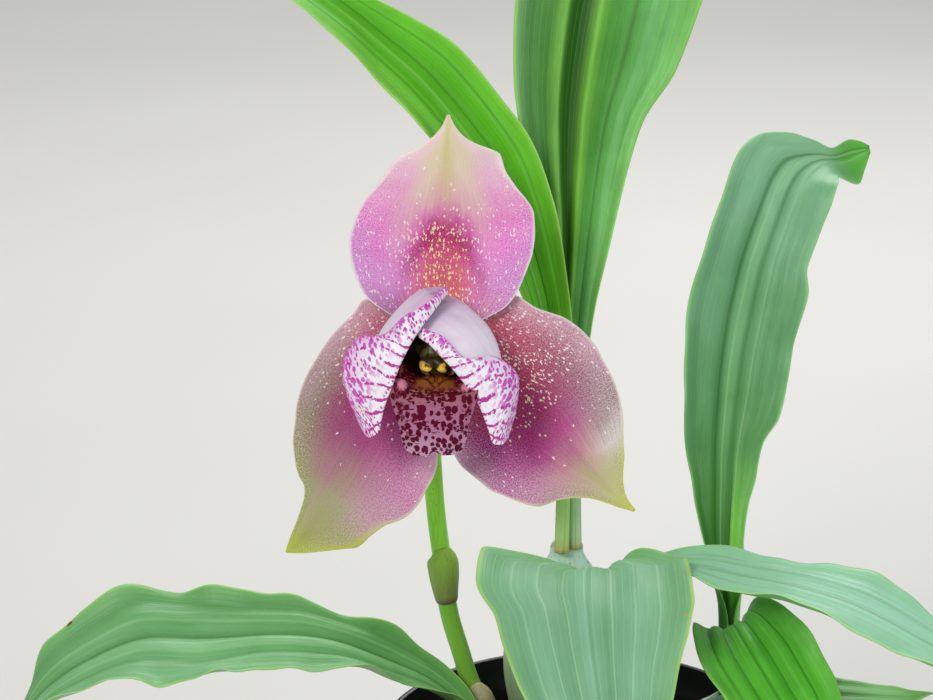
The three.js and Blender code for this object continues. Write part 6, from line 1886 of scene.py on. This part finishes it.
def columnSkin():
    material, board, shader = petalTone("columnSkin", 0.35)
    along, place = board.parts(board.map("share"))[1], board.place()
    colour = board.ramp(along, column["along"])
    blots = board.noise(board.stretch(place, 900.0, 900.0, 420.0), 1.0, 3.0)
    colour = board.mix(board.span(blots, 0.5, 0.58, 0.0, 0.85), colour, column["streak"])
    board.feed(shader["Base Color"], colour)
    board.feed(shader["Normal"], board.bump(board.noise(place, 1600.0, 2.0), 0.3, 0.0003))
    return material


def capSkin():
    material, board, shader = petalTone("antherCapSkin", 0.36)
    share, place = board.map("share"), board.place()
    around, along = board.parts(share)[:2]
    ragged = board.drift(place, 480.0, 2.0, 0.6)
    lobes = board.larger(board.hump(along, 0.22, 0.2), board.hump(along, 0.76, 0.13))
    lobes = board.times(lobes, board.hump(around, 0.34, 0.22))
    board.feed(shader["Base Color"], board.ramp(board.timesPlus(ragged, 2.2, lobes), antherCap["colours"]))
    board.feed(shader["Normal"], board.bump(board.noise(place, 2200.0, 2.0), 0.3, 0.0002))
    return material


def makeColumn():
    def winged(place, angle):
        wing = 0.3 * np.exp(-((place - 0.86) / 0.1) ** 2) * (np.abs(np.cos(angle)) ** 6)
        hollow = 0.35 * np.exp(-((place - 0.86) / 0.09) ** 2) * np.exp(-((angle - 1.5 * math.pi) / 0.55) ** 2)
        return 1 + wing - hollow

    rings = ringsAlong(column, winged)
    seat(ringPiece("columnBody", inFlower(rings), [columnSkin()]), "column", "column")

    def beaded(place, angle):
        return 1 + 0.04 * np.cos(3 * angle + 1) - 0.12 * np.exp(-((place - 0.5) / 0.05) ** 2)

    rings = ringsAlong(antherCap, beaded)
    seat(ringPiece("antherCap", inFlower(rings), [capSkin()]), "anther", "anther_cap")
    material = stalkSkin("ovarySkin", ovary["along"], "#7a9a44")
    seat(ringPiece("ovaryNeck", inFlower(ringsAlong(ovary)), [material]), "stalk", "ovary")


makeColumn()
print("column made")


# Floor, light and camera
def makeFloor():
    material, board, shader = newMaterial("paleFloor", {"Roughness": 0.8, "Specular IOR Level": 0.3})
    cloud = board.noise(board.place(), 3.0, 2.0)
    board.feed(shader["Base Color"], board.ramp(cloud, [(0.3, studio["floor"]), (0.7, "#dddbd6")]))
    half = studio["floorSize"] / 2
    mesh = bpy.data.meshes.new("floor")
    corners = [(-half, -half, 0), (half, -half, 0), (half, half, 0), (-half, half, 0)]
    mesh.from_pydata(corners, [], [(0, 1, 2, 3)])
    mesh.materials.append(material)
    linked("floor", mesh)


makeFloor()
makeStudio()
bpy.context.scene.view_settings.view_transform = "Standard"
print("studio ready")
